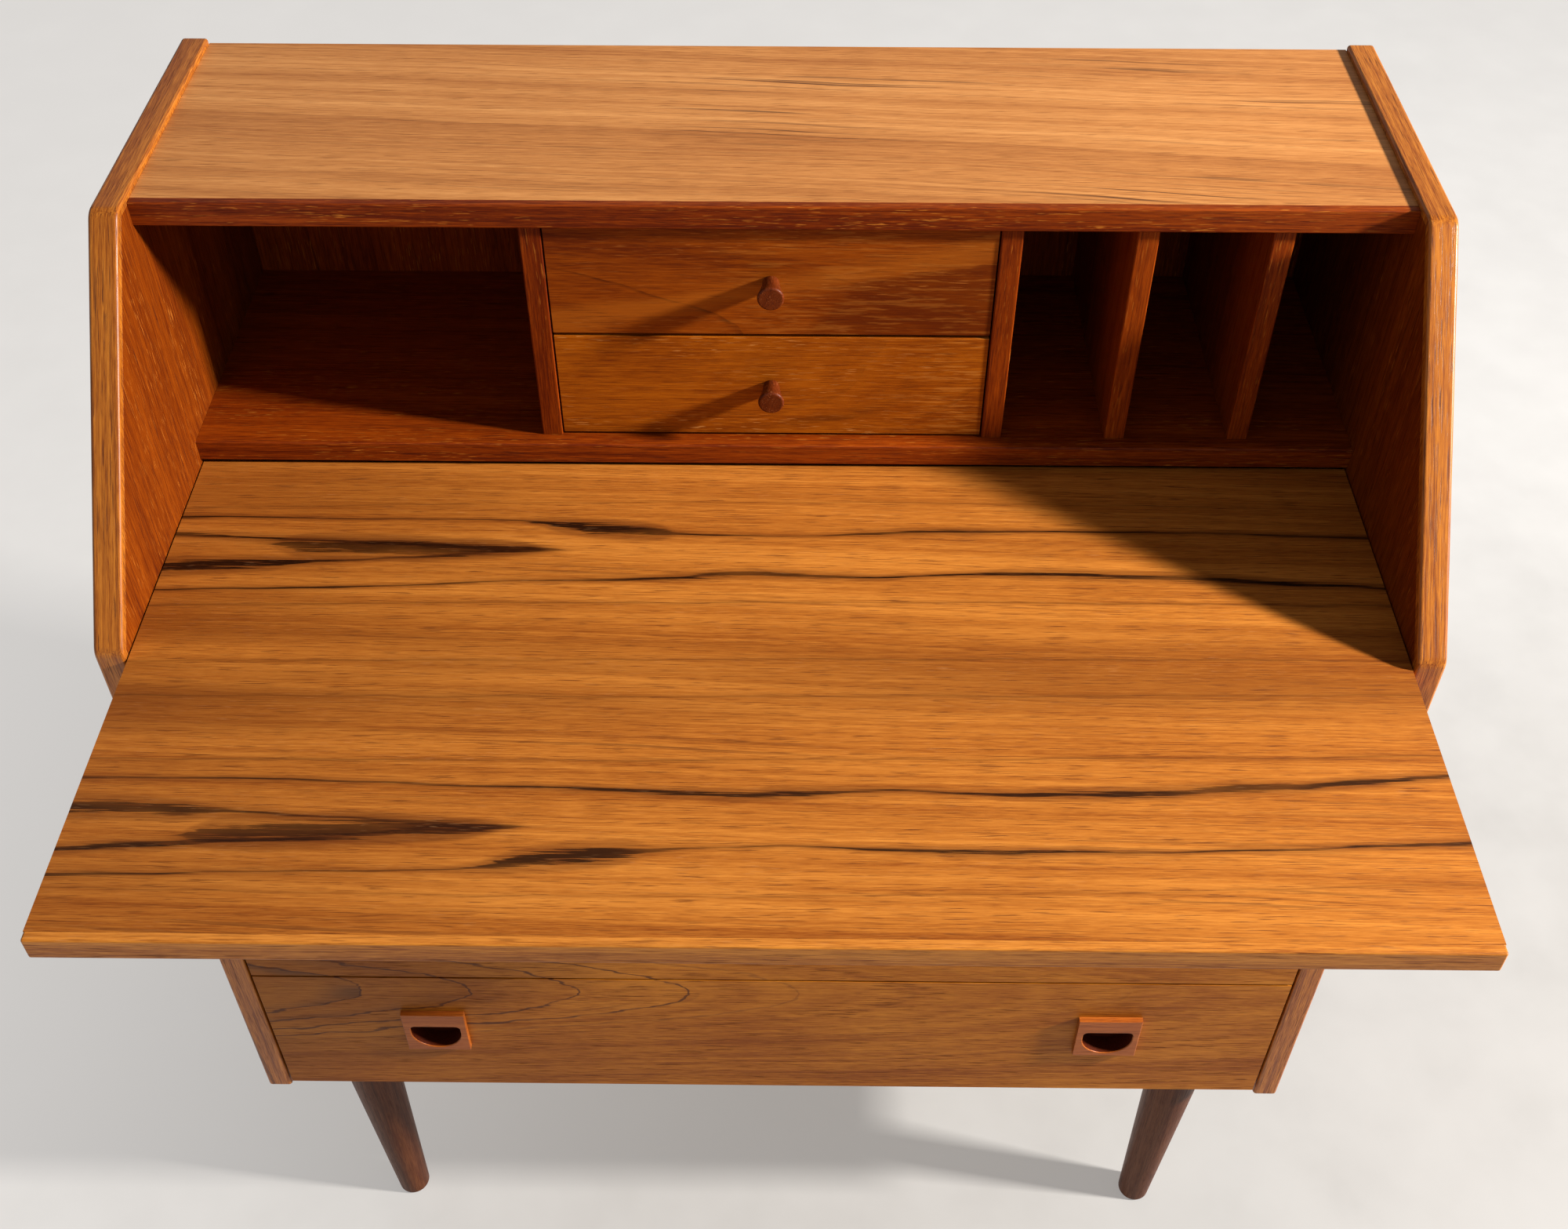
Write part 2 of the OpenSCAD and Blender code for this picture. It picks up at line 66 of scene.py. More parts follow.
# %% Camera
CAMERA_PLACE = (0.0151, -0.8026, 1.4893)
CAMERA_TILT = math.radians(45.03)
CAMERA_YAW = math.radians(-0.485)
CAMERA_ROLL = math.radians(0.108)
CAMERA_LENS = 39.39
FILM_WIDTH = 36.0
scene = bpy.context.scene
lens = bpy.data.cameras.new("camera")
lens.sensor_width = FILM_WIDTH
lens.lens = CAMERA_LENS
camera = bpy.data.objects.new("camera", lens)
scene.collection.objects.link(camera)
camera.matrix_world = (Matrix.Translation(CAMERA_PLACE)
                       @ Matrix.Rotation(-CAMERA_YAW, 4, "Z")
                       @ Matrix.Rotation(math.pi / 2 - CAMERA_TILT, 4, "X")
                       @ Matrix.Rotation(CAMERA_ROLL, 4, "Z"))
scene.camera = camera
print("camera at", CAMERA_PLACE, "with a lens of", CAMERA_LENS, "mm")

# %% [markdown]
# ## Small tools for writing shaders
# A wood shader is a sum of patterns, and most of it is arithmetic. A thin wrapper round a node tree keeps
# that arithmetic short: each call adds one node, links its inputs and gives back its output socket. In the
# functions that follow, t is always such a wrapper.

# %% Shader tools
class Tree:
    """Adds nodes to a tree; every call returns an output socket."""

    def __init__(self, tree):
        self.tree = tree

    def node(self, kind, inputs=None, out=0, **settings):
        made = self.tree.nodes.new(kind)
        for key, value in settings.items():
            setattr(made, key, value)
        for key, value in (inputs or {}).items():
            self.feed(made.inputs[key], value)
        return made.outputs[out] if made.outputs else None

    def feed(self, socket, value):
        if isinstance(value, bpy.types.NodeSocket):
            self.tree.links.new(value, socket)
        else:
            socket.default_value = value

    def split(self, vector):
        """The three numbers of a vector."""
        made = self.tree.nodes.new("ShaderNodeSeparateXYZ")
        self.feed(made.inputs[0], vector)
        return made.outputs

    def math(self, operation, a, b=0.0, clamp=False):
        return self.node("ShaderNodeMath", {0: a, 1: b}, operation=operation, use_clamp=clamp)

    def add(self, a, b):
        return self.math("ADD", a, b)

    def minus(self, a, b):
        return self.math("SUBTRACT", a, b)

    def times(self, a, b):
        return self.math("MULTIPLY", a, b)

    def step(self, value, zero, one):
        """0 up to one bound and 1 past the other, eased between them; either bound may be the larger."""
        return self.node("ShaderNodeMapRange", {"Value": value, "From Min": zero, "From Max": one},
                         interpolation_type="SMOOTHSTEP")

    def noise(self, vector, scale=1.0, detail=2.0, rough=0.5):
        return self.node("ShaderNodeTexNoise", {"Vector": vector, "Scale": scale, "Detail": detail,
                                                "Roughness": rough})

    def noise_line(self, value, scale=1.0, detail=2.0, rough=0.5):
        """Noise along one number, for what varies from ring to ring."""
        return self.node("ShaderNodeTexNoise", {"W": value, "Scale": scale, "Detail": detail,
                                                "Roughness": rough}, noise_dimensions="1D")

    def stretch(self, vector, scale, place=(0, 0, 0)):
        return self.node("ShaderNodeMapping", {"Vector": vector, "Scale": scale, "Location": place})

    def mix(self, amount, a, b):
        """Colour a where amount is 0, colour b where it is 1."""
        made = self.tree.nodes.new("ShaderNodeMix")
        made.data_type = "RGBA"
        made.clamp_factor = True
        self.feed(made.inputs[0], amount)
        self.feed(made.inputs[6], a)
        self.feed(made.inputs[7], b)
        return made.outputs[2]

    def ramp(self, value, stops):
        """A colour read from (place, colour) stops."""
        made = self.tree.nodes.new("ShaderNodeValToRGB")
        self.feed(made.inputs[0], value)
        points = made.color_ramp.elements
        while len(points) < len(stops):
            points.new(0.5)
        for point, (place, colour) in zip(points, stops):
            point.position = place
            point.color = (*colour, 1.0)
        return made.outputs[0]

    def curve(self, value, points):
        """A smooth curve through (x, y) points, both from 0 to 1."""
        made = self.tree.nodes.new("ShaderNodeFloatCurve")
        line = made.mapping.curves[0]
        while len(line.points) < len(points):
            line.points.new(0.5, 0.5)
        for point, place in zip(line.points, points):
            point.location = place
        made.mapping.update()
        self.feed(made.inputs["Value"], value)
        return made.outputs[0]


print("shader tools:", ", ".join(name for name in vars(Tree) if not name.startswith("_")))

# %% [markdown]
# ## How teak veneer grows
# Growth rings are nested tubes round the heart of the tree. A board cut flat through them shows a
# "cathedral": the rings meet its face in long nested arches at the middle and in straight lines at the
# sides. With u along the grain, v across and w through the board, the number of rings crossed is close to
# arch * v^2 + cross * v + along * u + deep * w. One group of nodes works that number out, bends it with
# slow noise, and reads everything from it: bands of tone, thin dark ring lines, fibres, and the short
# flecks of the open pores. A picture of wood would only cover the faces; a grown pattern also shows the
# right thing on edges, on end grain and inside a carved opening.

# %% Inputs of the wood group
WOOD_INPUTS = {"Arch": 0.0, "Cross": 160.0, "Along": 6.0, "Deep": 120.0, "Seed": 0.0, "Wander": 0.006,
               "Band": 0.5, "Fibre": 1.0, "Line": 0.5, "Fleck": 0.3, "Pore": 0.5, "Streak": 0.5,
               "Silk": 0.3}
WOOD_OUTPUTS = ("Tone", "Ring line", "Streaks", "Light fleck", "Dark pore", "Height")
# Cells of noise per metre along, across and through the board: long cells make marks that run with it
SLOW_BEND = (2.2, 7.0, 7.0)
QUICK_BEND = (9.0, 45.0, 45.0)
FIBRES = (7.0, 520.0, 520.0)
FINE_FIBRES = (60.0, 1300.0, 1300.0)
# Cells of the light and dark patches of painted sheen, the shimmer that teak's fibres give
PAINTED_SHEEN_PATCHES = (6.0, 16.0, 16.0)
LINE_BREAKS = (24.0, 230.0, 230.0)
STREAK_PATCHES = (4.0, 30.0, 30.0)
PORE_CROWDS = (7.0, 60.0, 60.0)
LIGHT_PORE_FLECKS = (80.0, 1250.0, 1250.0)
EMPTY_PORES = (42.0, 1100.0, 1100.0)
# How far the rings sway, in rings, and how far apart two seeds are
RING_SWAY = 0.12
SEED_RINGS = 7.3
print("wood group takes", len(WOOD_INPUTS), "numbers and gives", len(WOOD_OUTPUTS))

# %% Tone and lines of the wood
def centred(t, value, strength):
    """Noise that swings about zero, times its strength."""
    return t.times(t.add(value, -0.5), strength)


def banded_tone(t, given, grain, seeded, fibres):
    """Bands of tone from wide to narrow, then fibres that run with the grain, then light and dark patches of
    painted sheen, the silky shimmer of teak.
    """
    tone = centred(t, t.noise_line(seeded, 0.16, 1.0), 1.3)
    tone = t.add(tone, centred(t, t.noise_line(t.add(seeded, 31.0), 0.75, 2.0, 0.6), 0.9))
    tone = t.add(tone, centred(t, t.noise_line(t.add(seeded, 77.0), 3.2, 2.0, 0.6), 0.5))
    tone = t.times(tone, given["Band"])
    tone = t.add(tone, t.times(fibres, given["Fibre"]))
    # Painted sheen: soft light and dark patches added to the tone, standing in for the fibres' shimmer
    silk = t.noise(t.stretch(grain, PAINTED_SHEEN_PATCHES, (1, 2, 3)), detail=3.0, rough=0.55)
    tone = t.add(tone, centred(t, silk, given["Silk"]))
    return t.math("ADD", tone, 0.5, clamp=True)


def ring_line(t, given, grain, rings, seeded, quick):
    """A thin dark line that closes some rings: slow rise, sharp end, broken here and there."""
    place = t.math("FRACT", t.add(rings, centred(t, quick, RING_SWAY)))
    edge = t.minus(t.step(place, 0.90, 0.985), t.step(place, 0.988, 0.999))
    ring_number = t.math("FLOOR", t.add(seeded, centred(t, quick, RING_SWAY)))
    chosen = t.step(t.noise_line(ring_number, 3.71, 0.0), 0.42, 0.62)
    broken = t.step(t.noise(t.stretch(grain, LINE_BREAKS)), 0.30, 0.60)
    return t.times(t.times(t.times(edge, chosen), broken), given["Line"])


def dark_streaks(t, given, grain, seeded):
    """Darker streaks that follow the rings for a hand's width."""
    patch = t.step(t.noise(t.stretch(grain, STREAK_PATCHES, (5, 3, 1)), detail=3.0), 0.52, 0.72)
    streak = t.step(t.noise_line(t.add(seeded, 12.0), 1.6, 3.0, 0.6), 0.52, 0.66)
    return t.times(t.times(patch, streak), given["Streak"])


def open_pores(t, given, grain, seeded):
    """Short dashes: light flecks in some pores, dark where the pores are empty."""
    crowd = t.step(t.noise(t.stretch(grain, PORE_CROWDS, (3, 3, 9))), 0.35, 0.70)
    light = t.step(t.noise(t.stretch(grain, LIGHT_PORE_FLECKS, (2, 9, 4)), detail=1.0), 0.63, 0.72)
    light = t.times(t.times(light, crowd), given["Fleck"])
    dark = t.step(t.noise(t.stretch(grain, EMPTY_PORES, (7, 1, 8)), detail=3.0), 0.55, 0.66)
    porous = t.step(t.noise_line(t.add(seeded, 55.0), 1.1, 2.0, 0.6), 0.25, 0.65)
    dark = t.times(t.times(dark, t.add(t.times(porous, 0.7), 0.3)), given["Pore"])
    return light, dark


print("ring patterns: tone, line, streaks, pores")

# %% Wood group
def make_wood_group():
    """Counts the rings at a point of the grain and reads every mark of the wood from that number."""
    group = bpy.data.node_groups.new("teak growth", "ShaderNodeTree")
    face = group.interface
    face.new_socket("Grain", in_out="INPUT", socket_type="NodeSocketVector")
    for name, value in WOOD_INPUTS.items():
        face.new_socket(name, in_out="INPUT", socket_type="NodeSocketFloat").default_value = value
    for name in WOOD_OUTPUTS:
        face.new_socket(name, in_out="OUTPUT", socket_type="NodeSocketFloat")
    t = Tree(group)
    given = group.nodes.new("NodeGroupInput").outputs
    shift = t.node("ShaderNodeCombineXYZ", {"X": given["Seed"], "Y": given["Seed"], "Z": given["Seed"]})
    grain = t.node("ShaderNodeVectorMath", {0: given["Grain"], 1: shift}, operation="ADD")
    u, v, w = t.split(given["Grain"])
    slow = t.noise(t.stretch(grain, SLOW_BEND))
    quick = t.noise(t.stretch(grain, QUICK_BEND))
    bend = t.add(centred(t, slow, t.times(given["Wander"], 4.0)),
                 centred(t, quick, t.times(given["Wander"], 0.55)))
    v_bent = t.add(v, bend)
    rings = t.times(t.times(v_bent, v_bent), given["Arch"])
    for part, name in ((v_bent, "Cross"), (u, "Along"), (w, "Deep")):
        rings = t.add(rings, t.times(part, given[name]))
    seeded = t.add(rings, t.times(given["Seed"], SEED_RINGS))
    fibre = t.noise(t.stretch(grain, FIBRES), detail=3.0, rough=0.75)
    fine = t.noise(t.stretch(grain, FINE_FIBRES), detail=3.0, rough=0.70)
    fibres = t.add(centred(t, fibre, 0.85), centred(t, fine, 1.15))
    tone = banded_tone(t, given, grain, seeded, fibres)
    line = ring_line(t, given, grain, rings, seeded, quick)
    streaks = dark_streaks(t, given, grain, seeded)
    light, dark = open_pores(t, given, grain, seeded)
    height = t.add(t.times(fibre, 0.5), t.times(fine, 0.5))
    height = t.minus(height, t.times(dark, 0.9))
    result = group.nodes.new("NodeGroupOutput")
    for socket, value in zip(result.inputs, (tone, line, streaks, light, dark, height)):
        t.feed(socket, value)
    return group


wood_group = make_wood_group()
print("wood group:", len(wood_group.nodes), "nodes")

# %% [markdown]
# ## From growth to finish
# Each finish reads the same growth with its own numbers: how the board was cut, how strong its lines and
# flecks are, and colours for light, middle and dark wood. Teak under oil is satin, and its pores stay a
# little rougher than the wood between them. Where a point sits in its own board is stored on the mesh as
# an attribute called "grain" (along, across and through, in metres), so one finish serves boards that run
# in any direction, and a mitred corner shows its joint.

# %% Finish makers
WOOD_RELIEF = 0.00005
PORE_SHADE = 0.55


def palette(mid, spread=1.0, line=(0.06, 0.018, 0.006), fleck=(0.62, 0.30, 0.12)):
    """Light and dark wood either side of a middle colour."""
    light = tuple(c * (1 + k * spread) for c, k in zip(mid, (0.34, 0.52, 0.80)))
    dark = tuple(c * (1 - k * spread) for c, k in zip(mid, (0.38, 0.50, 0.58)))
    return {"light": light, "mid": mid, "dark": dark, "line": line, "fleck": fleck}


def wood(name, colours, rough=0.44, shine=0.26, extra=None, **growth):
    """A wood finish. Where extra is given, it adds a figure of its own under the pores."""
    material = bpy.data.materials.new(name)
    material.use_nodes = True
    tree = material.node_tree
    tree.nodes.clear()
    t = Tree(tree)
    grain = t.node("ShaderNodeAttribute", out=1, attribute_name="grain")
    group = tree.nodes.new("ShaderNodeGroup")
    group.node_tree = wood_group
    t.feed(group.inputs["Grain"], grain)
    for key, value in growth.items():
        group.inputs[key.capitalize()].default_value = value
    tone, line, streaks, light, dark, height = group.outputs
    line_colour = (*colours["line"], 1)
    colour = t.ramp(tone, [(0.10, colours["dark"]), (0.50, colours["mid"]), (0.90, colours["light"])])
    colour = t.mix(streaks, colour, line_colour)
    colour = t.mix(line, colour, line_colour)
    if extra:
        colour = extra(t, grain, colour)
    colour = t.mix(dark, colour, (*[PORE_SHADE * c for c in colours["dark"]], 1))
    colour = t.mix(light, colour, (*colours["fleck"], 1))
    # Pores are duller than the wood, and light wood is a little glossier than dark
    gloss = t.add(t.times(dark, 0.30), t.times(tone, -0.10))
    gloss = t.add(gloss, rough + 0.05)
    relief = t.node("ShaderNodeBump", {"Height": height, "Strength": 1.0, "Distance": WOOD_RELIEF})
    shader = t.node("ShaderNodeBsdfPrincipled", {"Base Color": colour, "Roughness": gloss, "Normal": relief,
                                                 "Specular IOR Level": shine})
    t.node("ShaderNodeOutputMaterial", {"Surface": shader})
    return material


print("finish makers ready")

# %% [markdown]
# ## Veins of the writing board
# The writing board is veneered with two leaves cut one after the other from the same log and opened like
# a book, so the figure is mirrored across the seam. Four dark veins run the length of the board. A curve
# gives each vein's distance from the seam along the board, a second one its half width, and noise along
# the grain frays it. Where two veins meet in a flame, the wood between them is stained brown.

# %% Courses of the veins
# What the curves span: half the board's length, the furthest from the seam, the widest half width and
# how far below nothing a half width may go, so that a vein can end
VEIN_X = 0.40
VEIN_S = 0.20
VEIN_W = 0.010
VEIN_END = 0.001
SEAM_START = -0.0015
SEAM_SLOPE = 0.0111
HAIR_LINE = [(-0.40, 0.0005), (0.40, 0.0005)]
# Each vein: course as (x, distance from the seam), half widths as (x, width), fraying, strength
VEINS = [
    # The outer one
    ([(-0.39, 0.144), (-0.27, 0.142), (-0.17, 0.140), (-0.11, 0.132), (-0.05, 0.127), (0.01, 0.125),
      (0.10, 0.129), (0.26, 0.128), (0.39, 0.123)],
     [(-0.39, 0.0012), (-0.30, 0.0004), (-0.17, 0.0006), (-0.135, 0.0032), (-0.09, 0.0040),
      (-0.06, 0.0011), (0.00, 0.0003), (0.12, 0.0014), (0.20, 0.0006), (0.39, 0.0014)], 1.3, 0.95),
    # The inner one
    ([(-0.39, 0.076), (-0.24, 0.079), (-0.16, 0.083), (-0.09, 0.085), (-0.015, 0.0895), (0.06, 0.0865),
      (0.16, 0.0895), (0.25, 0.086), (0.39, 0.076)],
     [(-0.39, 0.0008), (-0.10, 0.0009), (-0.01, 0.0019), (0.10, 0.0008), (0.18, 0.0019), (0.39, 0.0012)],
     1.2, 0.95),
    # The flame's two edges
    ([(-0.39, 0.127), (-0.29, 0.121), (-0.212, 0.117), (-0.165, 0.113), (-0.13, 0.1115)],
     [(-0.39, 0.0017), (-0.31, 0.0015), (-0.25, 0.0018), (-0.212, 0.0020), (-0.18, 0.0030),
      (-0.155, 0.0016), (-0.128, -0.0010), (0.40, -0.0010)], 1.0, 0.95),
    ([(-0.39, 0.0965), (-0.32, 0.100), (-0.25, 0.104), (-0.20, 0.108), (-0.15, 0.1115)],
     [(-0.39, 0.0040), (-0.33, 0.0032), (-0.29, 0.0014), (-0.24, 0.0008), (-0.18, 0.0016), (-0.15, 0.0012),
      (-0.135, -0.0010), (0.40, -0.0010)], 0.9, 0.95),
    # The stain between them
    ([(-0.39, 0.119), (-0.30, 0.1165), (-0.25, 0.1145), (-0.20, 0.1125), (-0.13, 0.1115), (-0.08, 0.112)],
     [(-0.39, -0.0010), (-0.335, -0.0006), (-0.315, 0.0022), (-0.29, 0.0052), (-0.25, 0.0056),
      (-0.20, 0.0044), (-0.165, 0.0028), (-0.14, 0.0012), (-0.115, -0.0006), (0.40, -0.0010)], 1.1, 0.80),
    # Three hair lines
    ([(-0.39, 0.062), (0.0, 0.064), (0.39, 0.061)], HAIR_LINE, 0.6, 0.40),
    ([(-0.39, 0.0135), (-0.1, 0.0150), (0.39, 0.0140)], HAIR_LINE, 0.6, 0.35),
    ([(-0.39, 0.152), (0.0, 0.158), (0.39, 0.150)], HAIR_LINE, 0.6, 0.25),
]
print("vein courses:", len(VEINS))

# %% Veins
SEAM_BROWN = (0.14, 0.032, 0.0035, 1)
LEFT_BROWN = (0.17, 0.042, 0.0045, 1)
VEIN_HALO = (0.11, 0.025, 0.004, 1)
VEIN_BLACK = (0.010, 0.0022, 0.0006, 1)
VEIN_FRAYS = (8.0, 420.0, 420.0)
VEIN_WAVES = (16.0, 8.0, 8.0)
BROWN_PATCHES = (2.0, 26.0, 26.0)
VEIN_GAPS = (9.0, 40.0, 40.0)
# The leaf's figure fades between these two depths under the face
LEAF_GONE = -0.0016
LEAF_FULL = -0.0008


def along_curve(t, place, points, height):
    """A curve through (x, value) points, read at a place from 0 to 1 along the board."""
    return t.times(t.curve(place, [((x + VEIN_X) / (2 * VEIN_X), y / height) for x, y in points]), height)


def browned(t, grain, colour, u, away):
    """Browner, more open wood in a hand's width either side of the seam, and at the left."""
    brown = t.noise(t.stretch(grain, BROWN_PATCHES, (8, 2, 5)), detail=3.0)
    middle = t.times(t.step(away, 0.060, 0.004), t.step(brown, 0.30, 0.62))
    colour = t.mix(t.times(middle, 0.50), colour, SEAM_BROWN)
    left = t.times(t.step(u, -0.05, -0.40), t.step(brown, 0.20, 0.70))
    return t.mix(t.times(left, 0.55), colour, LEFT_BROWN)


def veins(t, grain, plain):
    """Draws the seam's brown wood, then every vein with its halo, over the plain colour."""
    u, v, w = t.split(grain)
    seam = t.add(t.times(u, SEAM_SLOPE), SEAM_START)
    away = t.math("ABSOLUTE", t.minus(v, seam))
    place = t.math("DIVIDE", t.add(u, VEIN_X), 2 * VEIN_X, clamp=True)
    ragged = centred(t, t.noise(t.stretch(grain, VEIN_FRAYS), detail=4.0, rough=0.75), 5.0)
    wave = centred(t, t.noise(t.stretch(grain, VEIN_WAVES), detail=1.0), 0.004)
    away = t.add(away, wave)
    colour = browned(t, grain, plain, u, away)
    # The rear leaf's veins are a little stronger, and all of them fade here and there
    rear = t.step(v, -0.02, 0.02)
    fading = t.step(t.noise(t.stretch(grain, VEIN_GAPS, (2, 6, 3)), detail=2.0), 0.34, 0.58)
    for course, widths, fray, strength in VEINS:
        weight = t.times(t.add(t.times(rear, 0.06), 0.94), strength)
        weight = t.times(weight, t.add(t.times(fading, 0.32), 0.70))
        far = t.math("ABSOLUTE", t.minus(away, along_curve(t, place, course, VEIN_S)))
        raised = [(x, width + VEIN_END) for x, width in widths]
        half = t.add(along_curve(t, place, raised, VEIN_W), -VEIN_END)
        beyond = t.minus(far, t.add(half, t.times(t.times(ragged, half), fray)))
        vein = t.step(beyond, 0.0005, -0.0006)
        halo = t.step(t.minus(far, t.times(half, 2.2)), 0.0030, -0.0010)
        colour = t.mix(t.times(halo, t.times(weight, 0.55)), colour, VEIN_HALO)
        colour = t.mix(t.times(vein, weight), colour, VEIN_BLACK)
    # The leaf is thin: the board's ends and underside show none of its veins
    return t.mix(t.step(w, LEAF_GONE, LEAF_FULL), plain, colour)


print("veins ready, seam at", SEAM_START, "m")

# %% [markdown]
# ## Figure of the drawer fronts
# The three large fronts were cut from one wide leaf, so the cathedral runs on from front to front. Its
# first arches, near the left end, are stained darker.

# %% Drawer figure
# Rings crossed per metre along the leaf, and per square metre across it
LEAF_ALONG = 12.2
LEAF_ARCH = 900.0
LEFT_STAIN = (0.15, 0.043, 0.0040, 1)
ARCH_SMOKE = (0.075, 0.028, 0.012, 1)
ARCH_LINE = (0.070, 0.018, 0.006, 1)
ARCH_BENDS = (14.0, 55.0, 55.0)
ARCH_JAGS = (90.0, 260.0, 260.0)
ARCH_BREAKS = (26.0, 150.0, 150.0)
SMOKE_PATCHES = (7.0, 40.0, 40.0)


def cathedral(t, grain, colour):
    """Draws the arches of the large fronts, stained at the left and smoky inside the first ones."""
    u, v = t.split(grain)[:2]
    bend = centred(t, t.noise(t.stretch(grain, ARCH_BENDS), detail=3.0, rough=0.6), 0.018)
    jag = centred(t, t.noise(t.stretch(grain, ARCH_JAGS), detail=2.0), 0.006)
    v_bent = t.add(v, bend)
    rings = t.add(t.times(t.add(u, jag), LEAF_ALONG), t.times(t.times(v_bent, v_bent), LEAF_ARCH))
    # The distance to the nearest arch, in metres: rings to go, over rings per metre
    near = t.math("ABSOLUTE", t.add(t.math("FRACT", t.add(rings, 0.5)), -0.5))
    across = t.math("POWER", t.times(v_bent, 2 * LEAF_ARCH), 2.0)
    near = t.math("DIVIDE", near, t.math("SQRT", t.add(across, LEAF_ALONG * LEAF_ALONG)))
    fade = t.times(t.step(rings, 4.6, 3.2), t.step(rings, -3.6, -2.4))
    broken = t.step(t.noise(t.stretch(grain, ARCH_BREAKS)), 0.18, 0.45)
    line = t.times(t.times(t.step(near, 0.0013, 0.0003), fade), broken)
    left = t.step(t.add(u, bend), 0.30, -0.05)
    colour = t.mix(t.times(left, 0.32), colour, LEFT_STAIN)
    smoke = t.step(t.math("FRACT", rings), 0.45, 1.0)
    smoke = t.times(t.times(smoke, t.step(rings, 1.3, 0.2)), t.step(rings, -4.0, -1.0))
    patch = t.step(t.noise(t.stretch(grain, SMOKE_PATCHES, (4, 4, 4)), detail=3.0), 0.32, 0.58)
    colour = t.mix(t.times(t.times(smoke, patch), 0.72), colour, ARCH_SMOKE)
    return t.mix(t.times(line, 0.85), colour, ARCH_LINE)


print("large fronts: an arch every", round(1 / LEAF_ALONG, 3), "m along the leaf")

# %% Small drawer figure
UNDER_RIDGE = (0.105, 0.015, 0.0006, 1)
RIDGE_GOLD = (0.42, 0.115, 0.008, 1)
# Colour and cells of the short light dashes of painted sheen, the shimmer of the fibres
PAINTED_SHEEN_GOLD = (0.50, 0.17, 0.022, 1)
RIDGE_BENDS = (12.0, 60.0, 60.0)
PAINTED_SHEEN_DASHES = (42.0, 520.0, 520.0)
RIDGE_SLOPE = -0.21
RIDGE_RISE = 0.028


def silky(amount, ridge):
    """Short light dashes of painted sheen where the fibres rise to the face, and a lighter ridge across a
    small drawer.

    The two strengths are fixed here, and the function that comes back paints one finish with them.
    """
    def figure(t, grain, colour):
        u, v = t.split(grain)[:2]
        bend = centred(t, t.noise(t.stretch(grain, RIDGE_BENDS), detail=4.0, rough=0.6), 0.022)
        above = t.add(t.add(v, bend), t.add(t.times(u, RIDGE_SLOPE), RIDGE_RISE))
        right_end = t.step(t.add(u, t.times(v, -0.9)), 0.150, 0.168)
        below = t.times(t.step(above, -0.010, -0.0125), right_end)
        colour = t.mix(t.times(below, 0.55 * ridge), colour, UNDER_RIDGE)
        crest = t.step(t.math("ABSOLUTE", t.add(above, 0.002)), 0.014, 0.002)
        colour = t.mix(t.times(crest, 0.50 * ridge), colour, RIDGE_GOLD)
        # Painted sheen: light dashes at the right of the front, standing in for the fibres' shimmer
        dashes = t.step(t.noise(t.stretch(grain, PAINTED_SHEEN_DASHES, (6, 1, 1)), detail=3.0), 0.52, 0.64)
        right = t.step(t.add(u, bend), 0.02, 0.11)
        return t.mix(t.times(t.times(dashes, right), amount), colour, PAINTED_SHEEN_GOLD)
    return figure


print("small fronts: ridge slope", RIDGE_SLOPE)

# %% [markdown]
# The finishes themselves. Boards that lie in the open have gone golden; the sides, strips and pigeonholes
# are redder. The colours are how much light each wood gives back, so they look darker here than on the
# desk.

# %% Colours of the woods
TOP = palette((0.505, 0.196, 0.050), 1.1)
BOARD = palette((0.415, 0.130, 0.0165), 1.15)
BOARD_STRIP = palette((0.43, 0.134, 0.012), 1.2)
FRONT = palette((0.37, 0.112, 0.0075), 1.15)
STRIP = palette((0.36, 0.104, 0.009), 1.2)
RED = palette((0.21, 0.031, 0.0010), 1.3, line=(0.03, 0.005, 0.001), fleck=(0.50, 0.17, 0.02))
INNER_SIDE = palette((0.165, 0.028, 0.0010), 1.2, line=(0.03, 0.005, 0.001), fleck=(0.50, 0.16, 0.02))
SMALL_UPPER = palette((0.22, 0.040, 0.0012), 1.2, line=(0.04, 0.006, 0.001), fleck=(0.50, 0.17, 0.03))
SMALL_LOWER = palette((0.295, 0.066, 0.0020), 1.2, line=(0.05, 0.009, 0.001), fleck=(0.62, 0.26, 0.06))
KNOB = palette((0.115, 0.019, 0.003), 1.0, line=(0.02, 0.004, 0.001), fleck=(0.40, 0.14, 0.05))
HANDLE = palette((0.33, 0.080, 0.009), 1.0, fleck=(0.45, 0.18, 0.07))
# The finger hollow of a handle is painted shade: its deep faces get this near-black colour
HOLLOW_SHADE = palette((0.060, 0.008, 0.001), 0.9, line=(0.01, 0.002, 0.001), fleck=(0.14, 0.03, 0.006))
LEG = palette((0.095, 0.025, 0.0050), 1.0, line=(0.010, 0.004, 0.002), fleck=(0.09, 0.04, 0.02))
BEECH = palette((0.60, 0.40, 0.22), 0.45, line=(0.35, 0.20, 0.10), fleck=(0.45, 0.26, 0.13))
PLY = palette((0.55, 0.36, 0.19), 0.55, line=(0.30, 0.17, 0.08), fleck=(0.6, 0.42, 0.25))
BACK = palette((0.34, 0.11, 0.016), 1.0)
SIDE = palette((0.24, 0.068, 0.0075), 1.0)
print("middle of the top's colour:", TOP["mid"])

